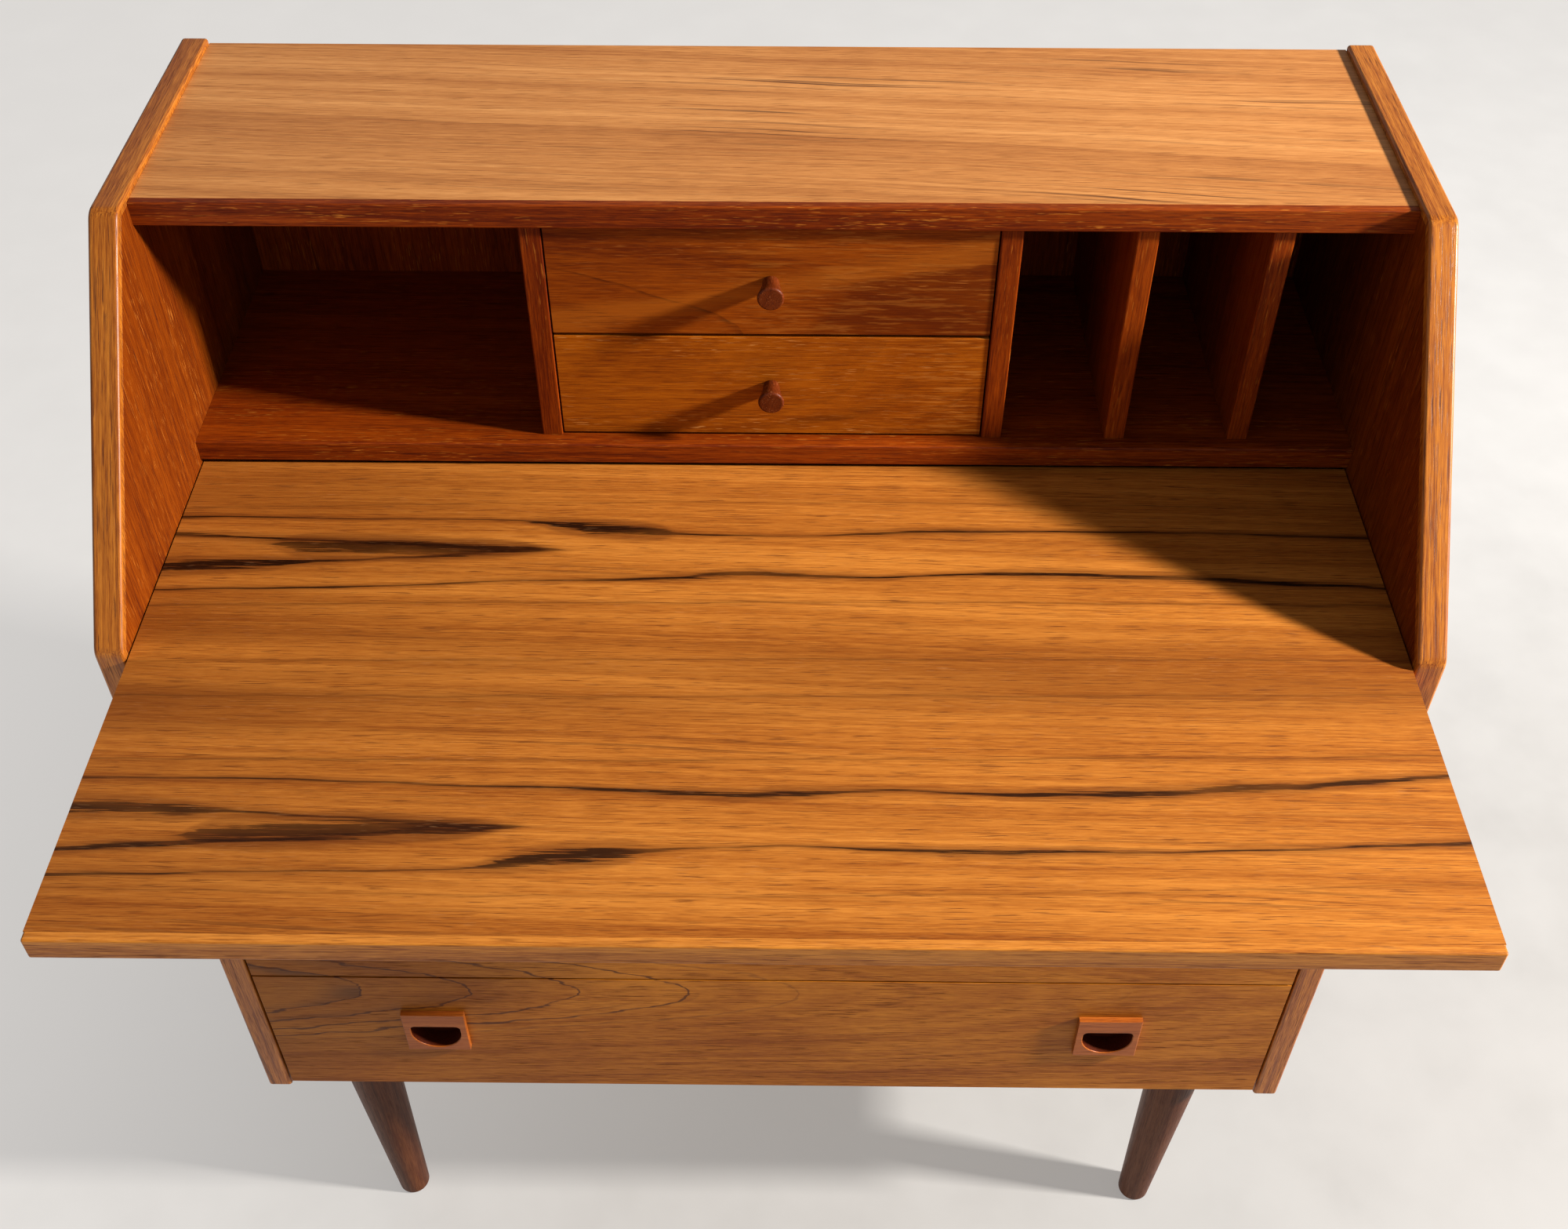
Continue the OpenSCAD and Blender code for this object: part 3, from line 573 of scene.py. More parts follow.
# %% Finishes that lie in the open
top_teak = wood("top_teak", TOP, cross=150, along=9, arch=120, seed=1.7, band=0.55, fibre=0.75,
                line=0.55, fleck=0.14, pore=0.55, streak=0.90, silk=0.35, wander=0.008)
board_teak = wood("writing_board_teak", BOARD, cross=170, along=7, seed=4.1, band=0.60, fibre=0.95, line=0.45,
                  fleck=0.16, pore=0.80, shine=0.16, streak=0.45, silk=0.45, wander=0.005, extra=veins)
front_teak = wood("drawer_front_teak", FRONT, arch=925, cross=0, along=12.5, deep=60, band=0.60, fibre=1.2,
                  line=0.15, fleck=0.08, pore=0.90, streak=0.35, silk=0.80, wander=0.008, shine=0.12,
                  extra=cathedral)
small_upper_teak = wood("small_drawer_upper_teak", SMALL_UPPER, arch=420, cross=46, along=13, seed=3.3,
                        band=0.70, fibre=1.2, line=0.7, fleck=0.45, pore=0.5, streak=0.5, silk=0.9,
                        wander=0.020, shine=0.12, extra=silky(0.26, 1.0))
small_lower_teak = wood("small_drawer_lower_teak", SMALL_LOWER, arch=300, cross=-30, along=11, seed=5.9,
                        band=0.65, fibre=1.3, line=0.4, fleck=0.65, pore=0.5, streak=0.6, silk=1.0,
                        wander=0.022, shine=0.12, extra=silky(0.60, 0.0))
print("top, board and drawer fronts finished")

# %% Finishes of strips and side panels
strip_teak = wood("edge_strip_teak", RED, cross=190, along=5, seed=2.2, band=0.8, fibre=1.6, line=0.3,
                  fleck=0.90, pore=0.7, streak=0.5, silk=0.4, shine=0.15)
side_strip_teak = wood("side_strip_teak", STRIP, cross=230, along=7, seed=6.2, band=0.7, fibre=1.6, line=0.6,
                       fleck=0.12, pore=0.9, streak=0.6, silk=0.5, rough=0.36, shine=0.34)
board_edge_teak = wood("board_edge_teak", BOARD_STRIP, cross=260, along=4, seed=9.1, band=0.6, fibre=1.5,
                       line=0.4, fleck=0.28, pore=0.8, streak=0.5, silk=0.3)
board_lip_teak = wood("board_lip_teak", BOARD, cross=260, along=4, seed=9.1, band=0.6, fibre=1.2, line=0.4,
                      fleck=0.22, pore=0.8, shine=0.16, streak=0.5, silk=0.3)
inner_side_teak = wood("inner_side_teak", INNER_SIDE, cross=190, along=6, seed=3.7, band=0.5, fibre=1.5,
                       line=0.3, fleck=0.75, pore=0.7, streak=0.4, silk=0.4, shine=0.12)
inner_teak = wood("inner_teak", RED, cross=150, along=8, seed=7.1, band=0.5, fibre=1.3, line=0.3, fleck=0.65,
                  pore=0.6, streak=0.4, silk=0.4, shine=0.12)
side_teak = wood("side_panel_teak", SIDE, arch=500, cross=20, along=9, seed=8.4, band=0.5, fibre=1.1,
                 line=0.55, fleck=0.12, pore=0.55, streak=0.35, silk=0.35)
print("strips and side panels finished")

# %% Finishes of turned parts and of the wood inside
handle_teak = wood("handle_teak", HANDLE, cross=330, along=6, seed=1.1, band=0.35, line=0.2, fleck=0.25,
                   pore=0.6, streak=0.2, silk=0.3, rough=0.36, shine=0.22)
# Painted shade for the deep faces of the handles' finger hollows
hollow_painted_shade = wood("handle_hollow_teak", HOLLOW_SHADE, cross=330, along=6, seed=1.1, band=0.3, line=0.1, fleck=0.1,
                   pore=0.5, streak=0.1, silk=0.3, rough=0.6, shine=0.08)
knob_teak = wood("knob_teak", KNOB, cross=330, along=3, arch=9000, seed=2.9, band=0.7, line=0.5, fleck=0.6,
                 pore=0.7, streak=0.3, silk=0.4, rough=0.38, shine=0.15)
leg_wood = wood("stained_leg", LEG, cross=210, along=4, seed=4.4, band=0.8, fibre=1.4, line=0.3, fleck=0.35,
                pore=0.4, streak=0.3, silk=0.6, rough=0.42, shine=0.12)
beech = wood("beech", BEECH, cross=120, along=5, seed=3.1, band=0.35, line=0.25, fleck=0.5, pore=0.15,
             streak=0.1, silk=0.2, rough=0.5)
ply = wood("birch_ply", PLY, arch=160, cross=60, along=8, seed=6.6, band=0.4, line=0.2, fleck=0.1, pore=0.25,
           streak=0.15, silk=0.35, rough=0.55)
back_teak = wood("back_panel_teak", BACK, arch=160, cross=80, along=9, seed=5.2, band=0.5, line=0.4,
                 fleck=0.1, pore=0.5, streak=0.4, silk=0.4, rough=0.5)
print("handles, knobs, legs, beech and back finished")

# %% [markdown]
# ## Metal
# The screws and plates are zinc-plated steel, the board's guide pins are brass. A fine noise in the
# roughness, a slow one in the tint and light scratches keep them from looking like plastic.

# %% Metals
SCRATCHES = (900.0, 120.0, 900.0)
STAINS_PER_METRE = 160.0
METAL_RELIEF = 0.00002


def metal(name, colour, dull, rough):
    """A plated or drawn metal, whose clean colour goes dull in small stains."""
    material = bpy.data.materials.new(name)
    material.use_nodes = True
    tree = material.node_tree
    tree.nodes.clear()
    t = Tree(tree)
    place = t.node("ShaderNodeTexCoord", out=3)
    stain = t.noise(place, STAINS_PER_METRE, 3.0)
    scratch = t.noise(t.stretch(place, SCRATCHES), 1.0, 3.0)
    tint = t.mix(t.step(stain, 0.40, 0.70), (*colour, 1), (*dull, 1))
    gloss = t.add(rough, centred(t, t.add(stain, scratch), 0.16))
    relief = t.node("ShaderNodeBump", {"Height": scratch, "Strength": 0.6, "Distance": METAL_RELIEF})
    shader = t.node("ShaderNodeBsdfPrincipled", {"Base Color": tint, "Roughness": gloss, "Metallic": 1.0,
                                                 "Normal": relief})
    t.node("ShaderNodeOutputMaterial", {"Surface": shader})
    return material


steel = metal("zinc_plated_steel", (0.60, 0.60, 0.58), (0.42, 0.42, 0.43), 0.34)
brass = metal("guide_pin_brass", (0.74, 0.52, 0.22), (0.50, 0.33, 0.13), 0.30)
print("metals made")

# %% [markdown]
# ## Easing the boards
# A cabinetmaker breaks every sharp edge with a plane and sandpaper, and those thin rounded edges catch the
# light. Each board is copied from the packed model, its triangles are merged into flat faces, and a bevel
# of the right width goes on the edges that a hand would touch. Edges that are glued against another board
# only get a hair line, which is how a joint shows.

# %% Copies of the packed boards
# Vertices closer than this are one, and faces that turn less than this are flat
SAME_PLACE = 1e-6
FLAT = math.radians(0.5)


def own_shape(name):
    """A copy of a packed node with its loose triangles merged into flat faces."""
    shape = bmesh.new()
    shape.from_mesh(nodes_by_name[name].data)
    bmesh.ops.remove_doubles(shape, verts=shape.verts, dist=SAME_PLACE)
    bmesh.ops.dissolve_limit(shape, angle_limit=FLAT, verts=shape.verts, edges=shape.edges)
    return shape


def settle(piece):
    """Turns a piece with modifiers into a plain mesh."""
    graph = bpy.context.evaluated_depsgraph_get()
    plain = bpy.data.meshes.new_from_object(piece.evaluated_get(graph))
    piece.modifiers.clear()
    old = piece.data
    piece.data = plain
    bpy.data.meshes.remove(old)
    plain.name = piece.name
    return piece


# %% Eased edges
# How far each kind of edge is rounded; HAIR is for glued ones
HAIR = 0.00018
PLY_EDGE = 0.0002
KNOB_EDGE = 0.0002
VENEER_EDGE = 0.0003
BOLT_EDGE = 0.0003
METAL_EDGE = 0.0004
PLAIN_EDGE = 0.0005
SAWN_EDGE = 0.0006
PANEL_EDGE = 0.0008
FRONT_EDGE = 0.0009
TOP_STRIP_EDGE = 0.0010
STRIP_EDGE = 0.0014
LEG_EDGE = 0.0018
SIDE_STRIP_EDGE = 0.0022
# An edge is eased where its faces turn more than SHARP and it is longer than SHORT
SHARP = math.radians(25)
SHORT = 0.0003
DIRECTIONS = {"left": (-1, 0, 0), "right": (1, 0, 0), "front": (0, -1, 0), "back": (0, 1, 0),
              "under": (0, 0, -1), "over": (0, 0, 1)}


def ease(shape, name, radius, glued=(), rule=None, segments=3):
    """Bevels the touched edges by radius and the glued ones by a hair, and gives a plain piece back."""
    weight = shape.edges.layers.float.new("bevel_weight_edge")
    widest = max(radius, HAIR)
    walls = [Vector(DIRECTIONS[side]) for side in glued]
    for edge in shape.edges:
        if len(edge.link_faces) != 2 or edge.calc_face_angle(0.0) < SHARP or edge.calc_length() < SHORT:
            continue
        width = radius
        if any(face.normal.dot(wall) > 0.9 for face in edge.link_faces for wall in walls):
            width = HAIR
        if rule:
            width = rule(edge, width)
        edge[weight] = width / widest
    for face in shape.faces:
        face.smooth = True
    mesh = bpy.data.meshes.new(name)
    shape.to_mesh(mesh)
    shape.free()
    piece = bpy.data.objects.new(name, mesh)
    scene.collection.objects.link(piece)
    bevel = piece.modifiers.new("eased edges", "BEVEL")
    bevel.limit_method = "WEIGHT"
    bevel.width = widest
    bevel.segments = segments
    piece.modifiers.new("even normals", "WEIGHTED_NORMAL")
    return settle(piece)


print("glued edges keep a line of", HAIR, "m")

# %% Grain and places
# Along and across the grain, for boards that lie, stand and face in different ways
RUN = {"x": ((1, 0, 0), (0, 1, 0)), "x_front": ((1, 0, 0), (0, 0, 1)), "y": ((0, 1, 0), (1, 0, 0)),
       "y_side": ((0, 1, 0), (0, 0, 1)), "z_side": ((0, 0, 1), (0, 1, 0)),
       "z_front": ((0, 0, 1), (1, 0, 0))}


def grow(piece, frame_of):
    """Stores each corner's place in its board: along the grain, across it and through the board.

    frame_of takes a point and gives the direction along, the direction across and the heart there.
    """
    mesh = piece.data
    places = mesh.attributes.new("grain", "FLOAT_VECTOR", "CORNER")
    for face in mesh.polygons:
        along, across, heart = (Vector(part) for part in frame_of(face.center))
        through = along.cross(across)
        for corner in face.loop_indices:
            place = mesh.vertices[mesh.loops[corner].vertex_index].co - heart
            places.data[corner].vector = (place.dot(along), place.dot(across), place.dot(through))


def put(piece, material, node):
    """Gives a piece its finish and its place in the desk, instead of the packed node."""
    piece.data.materials.clear()
    piece.data.materials.append(material)
    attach(piece, body_of_node[node])
    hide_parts(node)
    return piece


def board(node, material, run, radius, glued=(), heart=(0, 0, 0), rule=None, segments=3):
    """Makes one board: its eased shape, its grain and its finish.

    heart is where the grain is measured from. Another heart shows another stretch of the same wood.
    """
    piece = ease(own_shape(node), node + "_board", radius, glued, rule, segments)
    grow(piece, lambda point: (*RUN[run], heart))
    return put(piece, material, node)


def second_finish(piece, material, chosen):
    """Lays another finish on the faces that chosen(face) is true for."""
    piece.data.materials.append(material)
    for face in piece.data.polygons:
        face.material_index = int(chosen(face))


def middle_of(edge):
    return (edge.verts[0].co + edge.verts[1].co) / 2


print("boards can run", ", ".join(RUN))

# %% [markdown]
# ## The case
# The top and the shelf lie between the side panels, with a solid strip glued to the front of each. Their
# ends are let into the panels, so those edges are joints. The strip round each side panel is mitred at the
# two blunt corners, and its grain turns with it.

# %% Case boards
# Points closer than this to a face lie on it
TOUCH = 1e-4
top_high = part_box("top_board")[1]
case_low, case_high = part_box("side_edging_left")
LET_IN = ("left", "right")
board("top_board", top_teak, "x", VENEER_EDGE, ("front", *LET_IN), (0.05, top_high.y - 0.03, top_high.z))
board("top_board_edging", strip_teak, "x_front", TOP_STRIP_EDGE, ("back", *LET_IN), (0.3, 0, 0.2))
board("shelf", inner_teak, "x", VENEER_EDGE, ("front", *LET_IN), (0.4, 0.1, 0.3))
board("shelf_edging", strip_teak, "x_front", STRIP_EDGE, ("back", *LET_IN), (-0.2, 0, 0.5))
DIVIDERS = ("divider_bay_left", "divider_bay_right", "divider_slot_left", "divider_slot_right")
for number, name in enumerate(DIVIDERS):
    board(name, inner_teak, "z_side", FRONT_EDGE, ("over", "under"), (0.11 * number, 0.23 * number, 0.1))
back = board("back_panel", back_teak, "z_front", VENEER_EDGE, heart=(0.21, 0.1, 0.6))
second_finish(back, inner_teak, lambda face: face.normal.y < -0.5)
board("bottom_panel", ply, "x", PLAIN_EDGE, LET_IN, (0.5, 0.4, 0.1))
board("front_rail", strip_teak, "x_front", SAWN_EDGE, LET_IN, (0.15, 0.3, 0.1))
print("case from", case_low.z, "to", case_high.z, "m")

# %% [markdown]
# The side panels are veneered, and a solid strip covers each panel's front, slope and top. A frame of
# three straight strips needs three grain directions, so the strip's faces are sorted by the side of the
# two mitres that they lie on. The panel's inner face is in the shade and has stayed redder, so it has a
# finish of its own.

# %% Side panels and their strips
SLOPE_FOOT = Vector((0, case_low.y, 0.745))
SLOPE_HEAD = Vector((0, 0.079, case_high.z))
# A point well inside the panel, which every inner face of the strip looks at
PANEL_MIDDLE = (0.15, 0.55)
INNER_FACE = abs(case_high.x) + 0.001


def edging_frame(point):
    """Grain frame of the strip that a point belongs to: the front, the slope or the top one."""
    slope = (SLOPE_HEAD - SLOPE_FOOT).normalized()
    mitre_low = (slope + Vector((0, 0, 1))).normalized()
    mitre_high = (slope + Vector((0, 1, 0))).normalized()
    flat = Vector((0, point.y, point.z))
    if (flat - SLOPE_FOOT).dot(mitre_low) < 0:
        return (0, 0, 1), (1, 0, 0), (0.1, 0.0, 0.3)
    if (flat - SLOPE_HEAD).dot(mitre_high) > 0:
        return (0, 1, 0), (1, 0, 0), (0.4, 0.2, 0.0)
    return slope, (1, 0, 0), (0.7, 0.0, 0.1)


def faces_core(face):
    """True on the strip's inner faces, which are glued to the panel."""
    centre = face.calc_center_median()
    outwards = centre - Vector((centre.x, *PANEL_MIDDLE))
    return abs(face.normal.x) < 0.5 and face.normal.dot(outwards) < 0


def edging_rule(edge, width):
    return HAIR if any(faces_core(face) for face in edge.link_faces) else width


def panel_rule(edge, width):
    """Only the panel's lower edges are touched; the rest is joints."""
    return PANEL_EDGE if middle_of(edge).z < case_low.z + TOUCH else HAIR


for side in ("left", "right"):
    name = "side_edging_" + side
    strip = ease(own_shape(name), name + "_strip", SIDE_STRIP_EDGE, rule=edging_rule)
    grow(strip, edging_frame)
    put(strip, side_strip_teak, name)
    panel = board("side_panel_" + side, side_teak, "z_side", PANEL_EDGE, heart=(0, 0.10, 0.5),
                  rule=panel_rule)
    second_finish(panel, inner_side_teak, lambda face: abs(face.center.x) < INNER_FACE)
print("side panels made, inner faces at", round(INNER_FACE, 4), "m from the middle")

# %% [markdown]
# ## The writing board
# One broad veneered board with a solid strip along its front, and two brass pins that slide in grooves in
# the side panels. The heart of its grain lies on the seam between the two leaves, so that the veins are
# measured from there. The strip's upper face is planed flush with the veneer and has gone golden with it,
# while its front has kept another tone.

# %% Writing board
LEAF_SEAM_Y = -0.105
board_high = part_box("writing_board")[1]
board("writing_board", board_teak, "x", PLAIN_EDGE, ("front",), (0, LEAF_SEAM_Y, board_high.z))
board_edging = board("writing_board_edging", board_edge_teak, "x_front", STRIP_EDGE, ("back",),
                     (0.6, 0, 0.1))
second_finish(board_edging, board_lip_teak, lambda face: face.normal.z > 0.85)
board("writing_board_pins", brass, "x", METAL_EDGE)
print("writing surface at", round(board_high.z, 4), "m")

# %% [markdown]
# ## Drawers
# A large drawer has a thick front, beech sides joined to it with dovetails, a thin bottom in grooves, and
# two square handle blocks let into the front. A small drawer is the same idea with a turned knob. The
# packed model has these shapes already, so each piece only needs its edges, grain and finish. A handle
# block gets them by rule: a lip that fingers have rounded, and a sharp hollow behind it, whose deep faces are
# painted near black as painted shade.

# %% Edges of the handle blocks
HANDLE_LIP = 0.0014
HANDLE_EDGE = 0.0010
# Half the width of the square that the finger opening fits in, and the depth where its hollow starts
HANDLE_REACH = 0.022
HOLLOW_DEPTH = 0.0045


def in_opening(point, box):
    """True inside the outline of a handle block's finger opening."""
    low, high = box
    centre_x = math.copysign(high.x - (high.z - low.z) / 2, point.x)
    return max(abs(point.x - centre_x), abs(point.z - (low.z + high.z) / 2)) < HANDLE_REACH


def handle_rule(edge, width):
    """The lip of the finger opening is rounder than the outside of the block; its hollow stays sharp."""
    middle = middle_of(edge)
    if middle.y > handle_box[0].y + TOUCH:
        return HAIR
    return HANDLE_LIP if in_opening(middle, handle_box) else min(width, HANDLE_EDGE)


# The deep faces of a finger opening, which take the near-black painted shade
def hollow(face):
    return face.center.y > handle_box[0].y + HOLLOW_DEPTH and in_opening(face.center, handle_box)


print("handle lip", HANDLE_LIP, "m")

# %% Large drawers
# One heart for the three fronts, so that one figure runs on over them
LEAF_HEART = (-0.307, 0, 0.383)
for number, name in enumerate(("top", "middle", "lowest")):
    part = "drawer_" + name + "_"
    board(part + "front", front_teak, "x_front", FRONT_EDGE, heart=LEAF_HEART)
    board(part + "side_left", beech, "y_side", SAWN_EDGE, heart=(0.3 * number, 0.1, 0.2))
    board(part + "side_right", beech, "y_side", SAWN_EDGE, heart=(0.2, 0.3, 0.3 * number))
    board(part + "back", beech, "x_front", SAWN_EDGE, heart=(0.1, 0.2 * number, 0.4))
    board(part + "bottom", ply, "x", PLY_EDGE, heart=(0.4 * number, 0.1, 0.2))
    handle_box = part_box(part + "handles")
    handles = board(part + "handles", handle_teak, "x_front", HANDLE_LIP, heart=(0.13 * number, 0.2, 0.1),
                    rule=handle_rule)
    # The finger opening's deep faces are painted near black as painted shade
    second_finish(handles, hollow_painted_shade, hollow)
print("large drawers made")

# %% Small drawers
SMALL = {"upper": (small_upper_teak, (-0.10, 0, 0.885)), "lower": (small_lower_teak, (0.02, 0, 0.79))}
for number, (name, (finish, heart)) in enumerate(SMALL.items()):
    part = "small_drawer_" + name + "_"
    board(part + "front", finish, "x_front", FRONT_EDGE, heart=heart)
    board(part + "sides", beech, "y_side", PLAIN_EDGE, heart=(0.2, 0.1 + 0.3 * number, 0.1))
    board(part + "back", beech, "x_front", PLAIN_EDGE, heart=(0.5, 0.1 * number, 0.2))
    board(part + "bottom", ply, "x", PLY_EDGE, heart=(0.1, 0.6 * number, 0.3))
    board(part + "knob", knob_teak, "y", KNOB_EDGE, heart=(0.0, 0.2 + 0.1 * number, 0.2))
print("small drawers made:", len(SMALL))

# %% [markdown]
# ## Runners, legs and plates
# The runners are beech. The legs are turned, stained dark and lacquered, and each screws into a steel
# plate under the bottom. A leg's grain runs up its length, as it does in a turned piece. It is measured
# from the leg's middle, front to back, and each leg shows another stretch of the wood.

# %% Runners and legs
RUNNERS = ("board_runner_left", "board_runner_right", "drawer_runners_left", "drawer_runners_right",
           "small_drawer_runners")
LEGS = ("leg_front_left", "leg_front_right", "leg_rear_left", "leg_rear_right")
for name in RUNNERS:
    board(name, beech, "y_side", PLAIN_EDGE, heart=(0.3, 0.2, 0.1))
for number, name in enumerate(LEGS):
    low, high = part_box(name)
    middle = (low + high) / 2
    board(name, leg_wood, "z_side", LEG_EDGE, ("over",), (0.1 * number, middle.y, middle.x), segments=4)
board("leg_plates", steel, "x", METAL_EDGE, ("over",))
board("leg_bolts", steel, "z_side", BOLT_EDGE)
print("runners:", len(RUNNERS), "legs:", len(LEGS))

# %% [markdown]
# ## Screws
# Every screw is the same countersunk one with a cross slot, so it is modelled once and repeated by
# geometry nodes. The packed model says where each screw is: its islands give a head, an axis and a tip.
# The nodes put one screw on each point, turned about its axis by a seeded random angle, as a screwdriver
# leaves them.

# %% One screw
SHANK_R = 0.00175
HEAD_R = 0.0035
HEAD_H = 0.0024
SCREW_L = 0.013
POINT_R = 0.0004
# The thread's shank is straight up to this share of the length, then runs to the point
STRAIGHT_SHARE = 0.7
SIDES = 24
CROSS_REACH = 0.0021
CROSS_HALF = 0.0005
CROSS_DEPTH = 0.0013
# How much the cross is drawn together at its bottom
CROSS_DRAW = 0.45


def screw_shape():
    """A countersunk screw with its head at z = 0 and its tip up +Z; the cross is cut into the head."""
    shape = bmesh.new()
    rings = []
    profile = [(HEAD_R, 0.0), (SHANK_R, HEAD_H), (SHANK_R, SCREW_L * STRAIGHT_SHARE), (POINT_R, SCREW_L)]
    for radius, height in profile:
        rings.append([shape.verts.new((radius * math.cos(2 * math.pi * k / SIDES),
                                       radius * math.sin(2 * math.pi * k / SIDES), height))
                      for k in range(SIDES)])
    for low, high in zip(rings, rings[1:]):
        for k in range(SIDES):
            shape.faces.new((low[k], low[(k + 1) % SIDES], high[(k + 1) % SIDES], high[k]))
    shape.faces.new(rings[-1])
    # The cross-shaped recess, then the flat of the head between its mouth and the rim
    arm, half = CROSS_REACH, CROSS_HALF
    corners = [(half, half), (half, arm), (-half, arm), (-half, half), (-arm, half), (-arm, -half),
               (-half, -half), (-half, -arm), (half, -arm), (half, -half), (arm, -half), (arm, half)]
    mouth = [shape.verts.new((x, y, 0)) for x, y in corners]
    bottom = [shape.verts.new((x * CROSS_DRAW, y * CROSS_DRAW, CROSS_DEPTH)) for x, y in corners]
    for k in range(len(corners)):
        after = (k + 1) % len(corners)
        shape.faces.new((mouth[k], bottom[k], bottom[after], mouth[after]))
    shape.faces.new(bottom)
    open_edges = [edge for edge in shape.edges if edge.is_boundary]
    bmesh.ops.triangle_fill(shape, use_beauty=True, edges=open_edges)
    bmesh.ops.recalc_face_normals(shape, faces=shape.faces)
    mesh = bpy.data.meshes.new("screw")
    shape.to_mesh(mesh)
    shape.free()
    return mesh


one_screw = bpy.data.objects.new("one_screw", screw_shape())
print("one screw:", len(one_screw.data.polygons), "faces")

# %% Where the screws go
AT_END = 1e-5


def islands(shape):
    """Groups of joined vertices, in the order of their first ones, so that each run gives the same list."""
    seen = set()
    for start in shape.verts:
        if start in seen:
            continue
        seen.add(start)
        group = []
        waiting = [start]
        while waiting:
            vertex = waiting.pop()
            group.append(vertex)
            for edge in vertex.link_edges:
                other = edge.other_vert(vertex)
                if other not in seen:
                    seen.add(other)
                    waiting.append(other)
        yield group


def screw_places():
    """Head centre and axis of every screw in the packed model."""
    shape = own_shape("case_screws")
    found = []
    for group in islands(shape):
        points = [vertex.co.copy() for vertex in group]
        low = Vector([min(point[i] for point in points) for i in range(3)])
        high = Vector([max(point[i] for point in points) for i in range(3)])
        middle = (low + high) / 2
        axis = max(range(3), key=lambda i: high[i] - low[i])
        radii = []
        for end in (low[axis], high[axis]):
            offsets = [point - middle for point in points if abs(point[axis] - end) < AT_END]
            for offset in offsets:
                offset[axis] = 0
            radii.append(max(offset.length for offset in offsets))
        head = middle.copy()
        head[axis] = low[axis] if radii[0] > radii[1] else high[axis]
        found.append((head, (middle - head).normalized()))
    shape.free()
    return found


places = screw_places()
print("screws found:", len(places))

# %% Screws by geometry nodes
def screw_nodes():
    """A node group that puts a turned copy of one screw on every point."""
    group = bpy.data.node_groups.new("screws on points", "GeometryNodeTree")
    face = group.interface
    face.new_socket("Geometry", in_out="INPUT", socket_type="NodeSocketGeometry")
    face.new_socket("Screw", in_out="INPUT", socket_type="NodeSocketObject")
    face.new_socket("Twist seed", in_out="INPUT", socket_type="NodeSocketInt")
    face.new_socket("Finish", in_out="INPUT", socket_type="NodeSocketMaterial")
    face.new_socket("Geometry", in_out="OUTPUT", socket_type="NodeSocketGeometry")
    t = Tree(group)
    given = group.nodes.new("NodeGroupInput").outputs
    points = t.node("GeometryNodeMeshToPoints", {"Mesh": given["Geometry"]})
    one = t.node("GeometryNodeObjectInfo", {"Object": given["Screw"]}, out=4)
    axis = t.node("GeometryNodeInputNamedAttribute", {"Name": "axis"}, data_type="FLOAT_VECTOR")
    turned = t.node("FunctionNodeAlignRotationToVector", {"Vector": axis}, axis="Z")
    twist = t.node("FunctionNodeRandomValue", {"Min": 0.0, "Max": math.pi / 2, "Seed": given["Twist seed"]},
                   out=1, data_type="FLOAT")
    about = t.node("FunctionNodeAxisAngleToRotation", {"Axis": (0, 0, 1), "Angle": twist})
    turned = t.node("FunctionNodeRotateRotation", {"Rotation": turned, "Rotate By": about},
                    rotation_space="LOCAL")
    copies = t.node("GeometryNodeInstanceOnPoints", {"Points": points, "Instance": one, "Rotation": turned})
    real = t.node("GeometryNodeRealizeInstances", {"Geometry": copies})
    finished = t.node("GeometryNodeSetMaterial", {"Geometry": real, "Material": given["Finish"]})
    result = group.nodes.new("NodeGroupOutput")
    t.feed(result.inputs[0], finished)
    return group


point_mesh = bpy.data.meshes.new("case_screws_set")
point_mesh.from_pydata([head for head, axis in places], [], [])
axes = point_mesh.attributes.new("axis", "FLOAT_VECTOR", "POINT")
for number, (head, axis) in enumerate(places):
    axes.data[number].vector = axis
screws = bpy.data.objects.new("case_screws_set", point_mesh)
scene.collection.objects.link(screws)
repeat = screws.modifiers.new("screws", "NODES")
repeat.node_group = screw_nodes()
SCREW_SETTINGS = {"Screw": one_screw, "Twist seed": 7, "Finish": steel}
for item in repeat.node_group.interface.items_tree:
    if item.in_out == "INPUT" and item.name in SCREW_SETTINGS:
        repeat[item.identifier] = SCREW_SETTINGS[item.name]
settle(screws)
for face in screws.data.polygons:
    face.use_smooth = False
bpy.data.objects.remove(one_screw)
put(screws, steel, "case_screws")
print("screws:", len(screws.data.polygons), "faces")

# %% [markdown]
# ## Floor and light
# The floor is plain and pale. It gives off a little light of its own, more at the left and at the back, so
# that it stays even where the lamp falls off; a second lamp would do that too, but it would also lighten
# the shadows on the desk. Its tone is mottled very slightly, as a painted floor is.

# %% Floor
FLOOR_CORNERS = [(-6, -6, 0), (6, -6, 0), (6, 8, 0), (-6, 8, 0)]
FLOOR_DARK = (0.205, 0.20, 0.194)
FLOOR_LIGHT = (0.235, 0.231, 0.226)
FLOOR_GLOW = (1.0, 0.97, 0.94, 1)
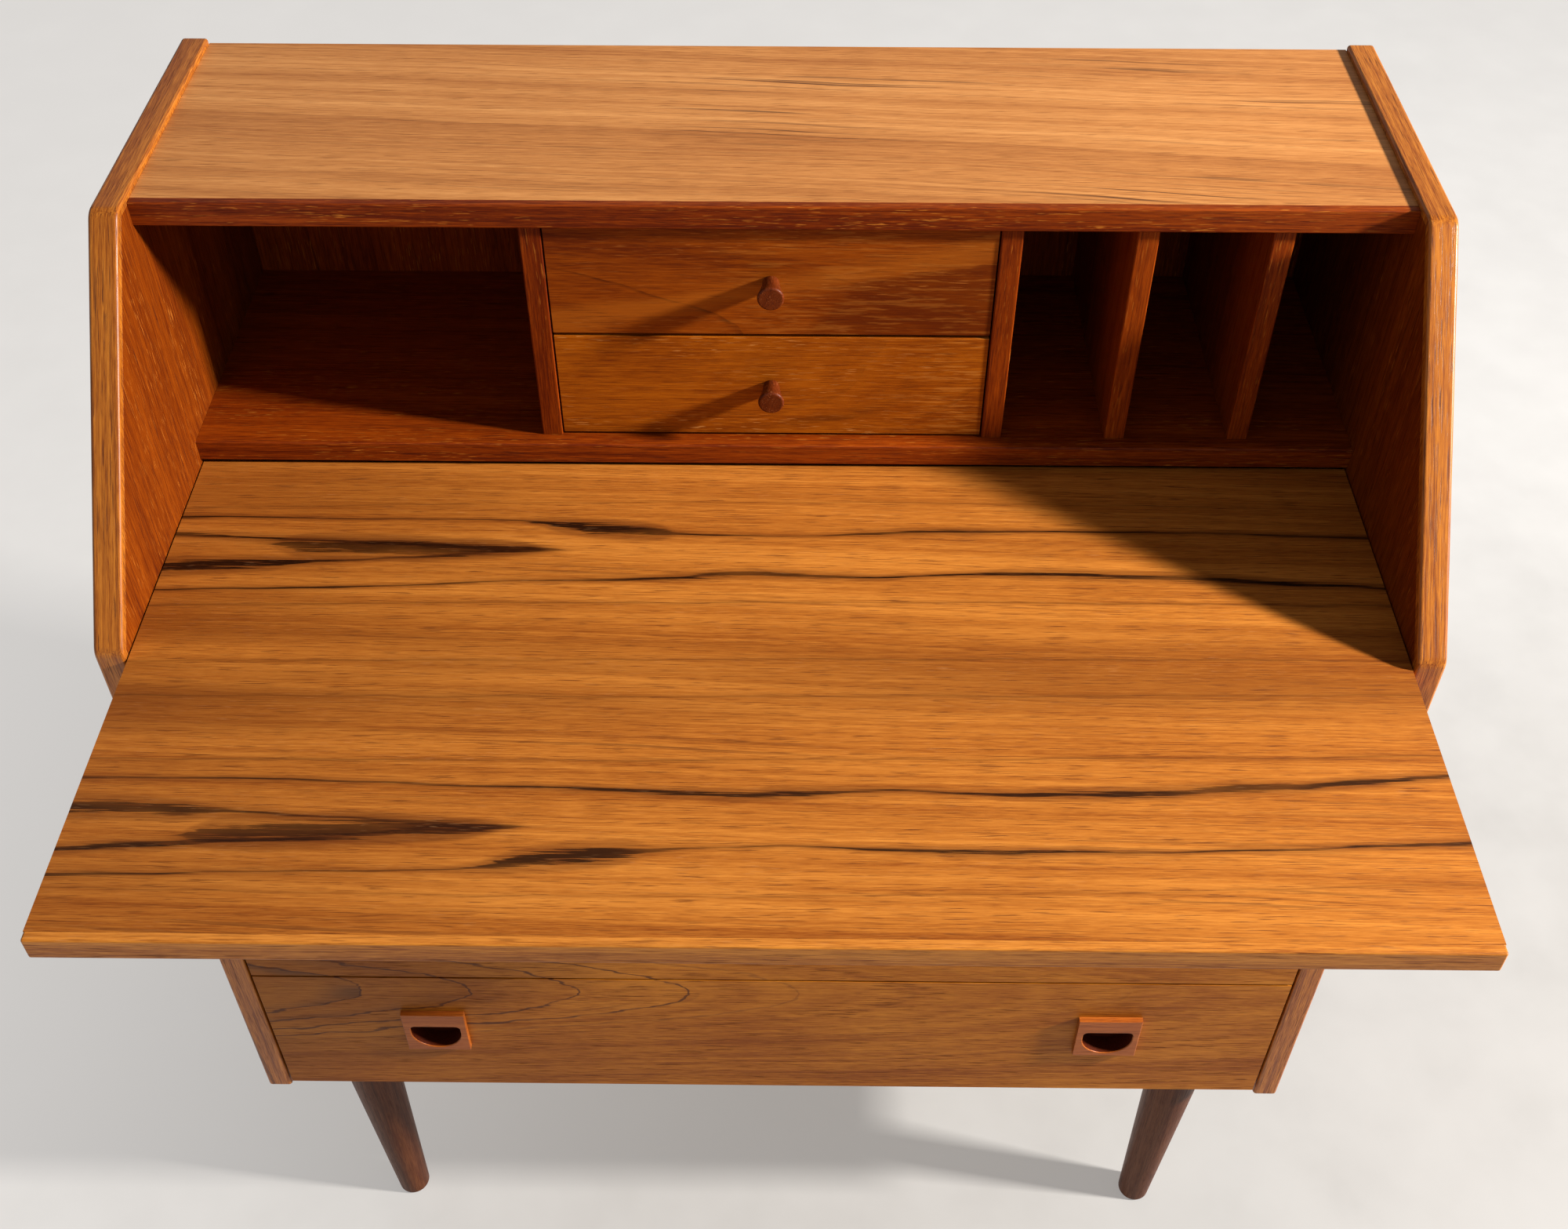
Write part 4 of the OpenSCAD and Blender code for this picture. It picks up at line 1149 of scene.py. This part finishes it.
# How strongly the floor gives off light: everywhere, and at most this much more at the left or the back
GLOW_ALL = 0.30
GLOW_LEFT = 0.27
GLOW_REAR = 0.26
floor_mesh = bpy.data.meshes.new("floor")
floor_mesh.from_pydata(FLOOR_CORNERS, [], [(0, 1, 2, 3)])
floor = bpy.data.objects.new("floor", floor_mesh)
scene.collection.objects.link(floor)
pale = bpy.data.materials.new("pale_floor")
pale.use_nodes = True
pale_tree = Tree(pale.node_tree)
floor_place = pale_tree.node("ShaderNodeTexCoord", out=3)
floor_x, floor_y = pale_tree.split(floor_place)[:2]
mottle = pale_tree.noise(floor_place, 9.0, 5.0, 0.6)
to_left = pale_tree.times(pale_tree.step(floor_x, 0.1, -1.0), GLOW_LEFT)
to_rear = pale_tree.times(pale_tree.step(floor_y, 0.2, 1.2), GLOW_REAR)
pale_inputs = {"Base Color": pale_tree.ramp(mottle, [(0.3, FLOOR_DARK), (0.7, FLOOR_LIGHT)]),
               "Roughness": pale_tree.step(mottle, -0.6, 1.2), "Emission Color": FLOOR_GLOW,
               "Emission Strength": pale_tree.add(pale_tree.math("MAXIMUM", to_left, to_rear), GLOW_ALL)}
for name, value in pale_inputs.items():
    pale_tree.feed(pale.node_tree.nodes["Principled BSDF"].inputs[name], value)
floor_mesh.materials.append(pale)
print("floor laid")

# %% [markdown]
# One small lamp at the right, a little in front and high up, throws the crisp shadows of the side panel
# over the writing board. A small lamp is used because the shadow's edge gets softer with the lamp's size.
# The room adds a soft light that is bright near the horizon and weaker overhead, so that the pigeonholes
# stay dark.

# %% Light
KEY_PLACE = Vector((2.82, -0.46, 2.17))
KEY_TARGET = Vector((0, 0, 0.7))
KEY_SIZE = 0.25
KEY_WATTS = 275
KEY_COLOUR = (1.0, 0.96, 0.90)
ROOM_LIGHT = 0.55
# The room's colour from the horizon up
ROOM_COLOURS = [(0.0, (0.74, 0.73, 0.71)), (0.45, (0.70, 0.69, 0.68)), (0.80, (0.34, 0.34, 0.34))]
world = bpy.data.worlds.new("studio")
scene.world = world
world.use_nodes = True
sky = Tree(world.node_tree)
upwards = sky.split(sky.node("ShaderNodeTexCoord", out=0))[2]
background = world.node_tree.nodes["Background"]
sky.feed(background.inputs["Color"], sky.ramp(upwards, ROOM_COLOURS))
background.inputs["Strength"].default_value = ROOM_LIGHT
scene.view_settings.view_transform = "Standard"
key_light = bpy.data.lights.new("key", "AREA")
key_light.size = KEY_SIZE
key_light.energy = KEY_WATTS
key_light.color = KEY_COLOUR
key = bpy.data.objects.new("key", key_light)
scene.collection.objects.link(key)
key.location = KEY_PLACE
key.rotation_euler = (KEY_TARGET - KEY_PLACE).to_track_quat("-Z", "Y").to_euler()
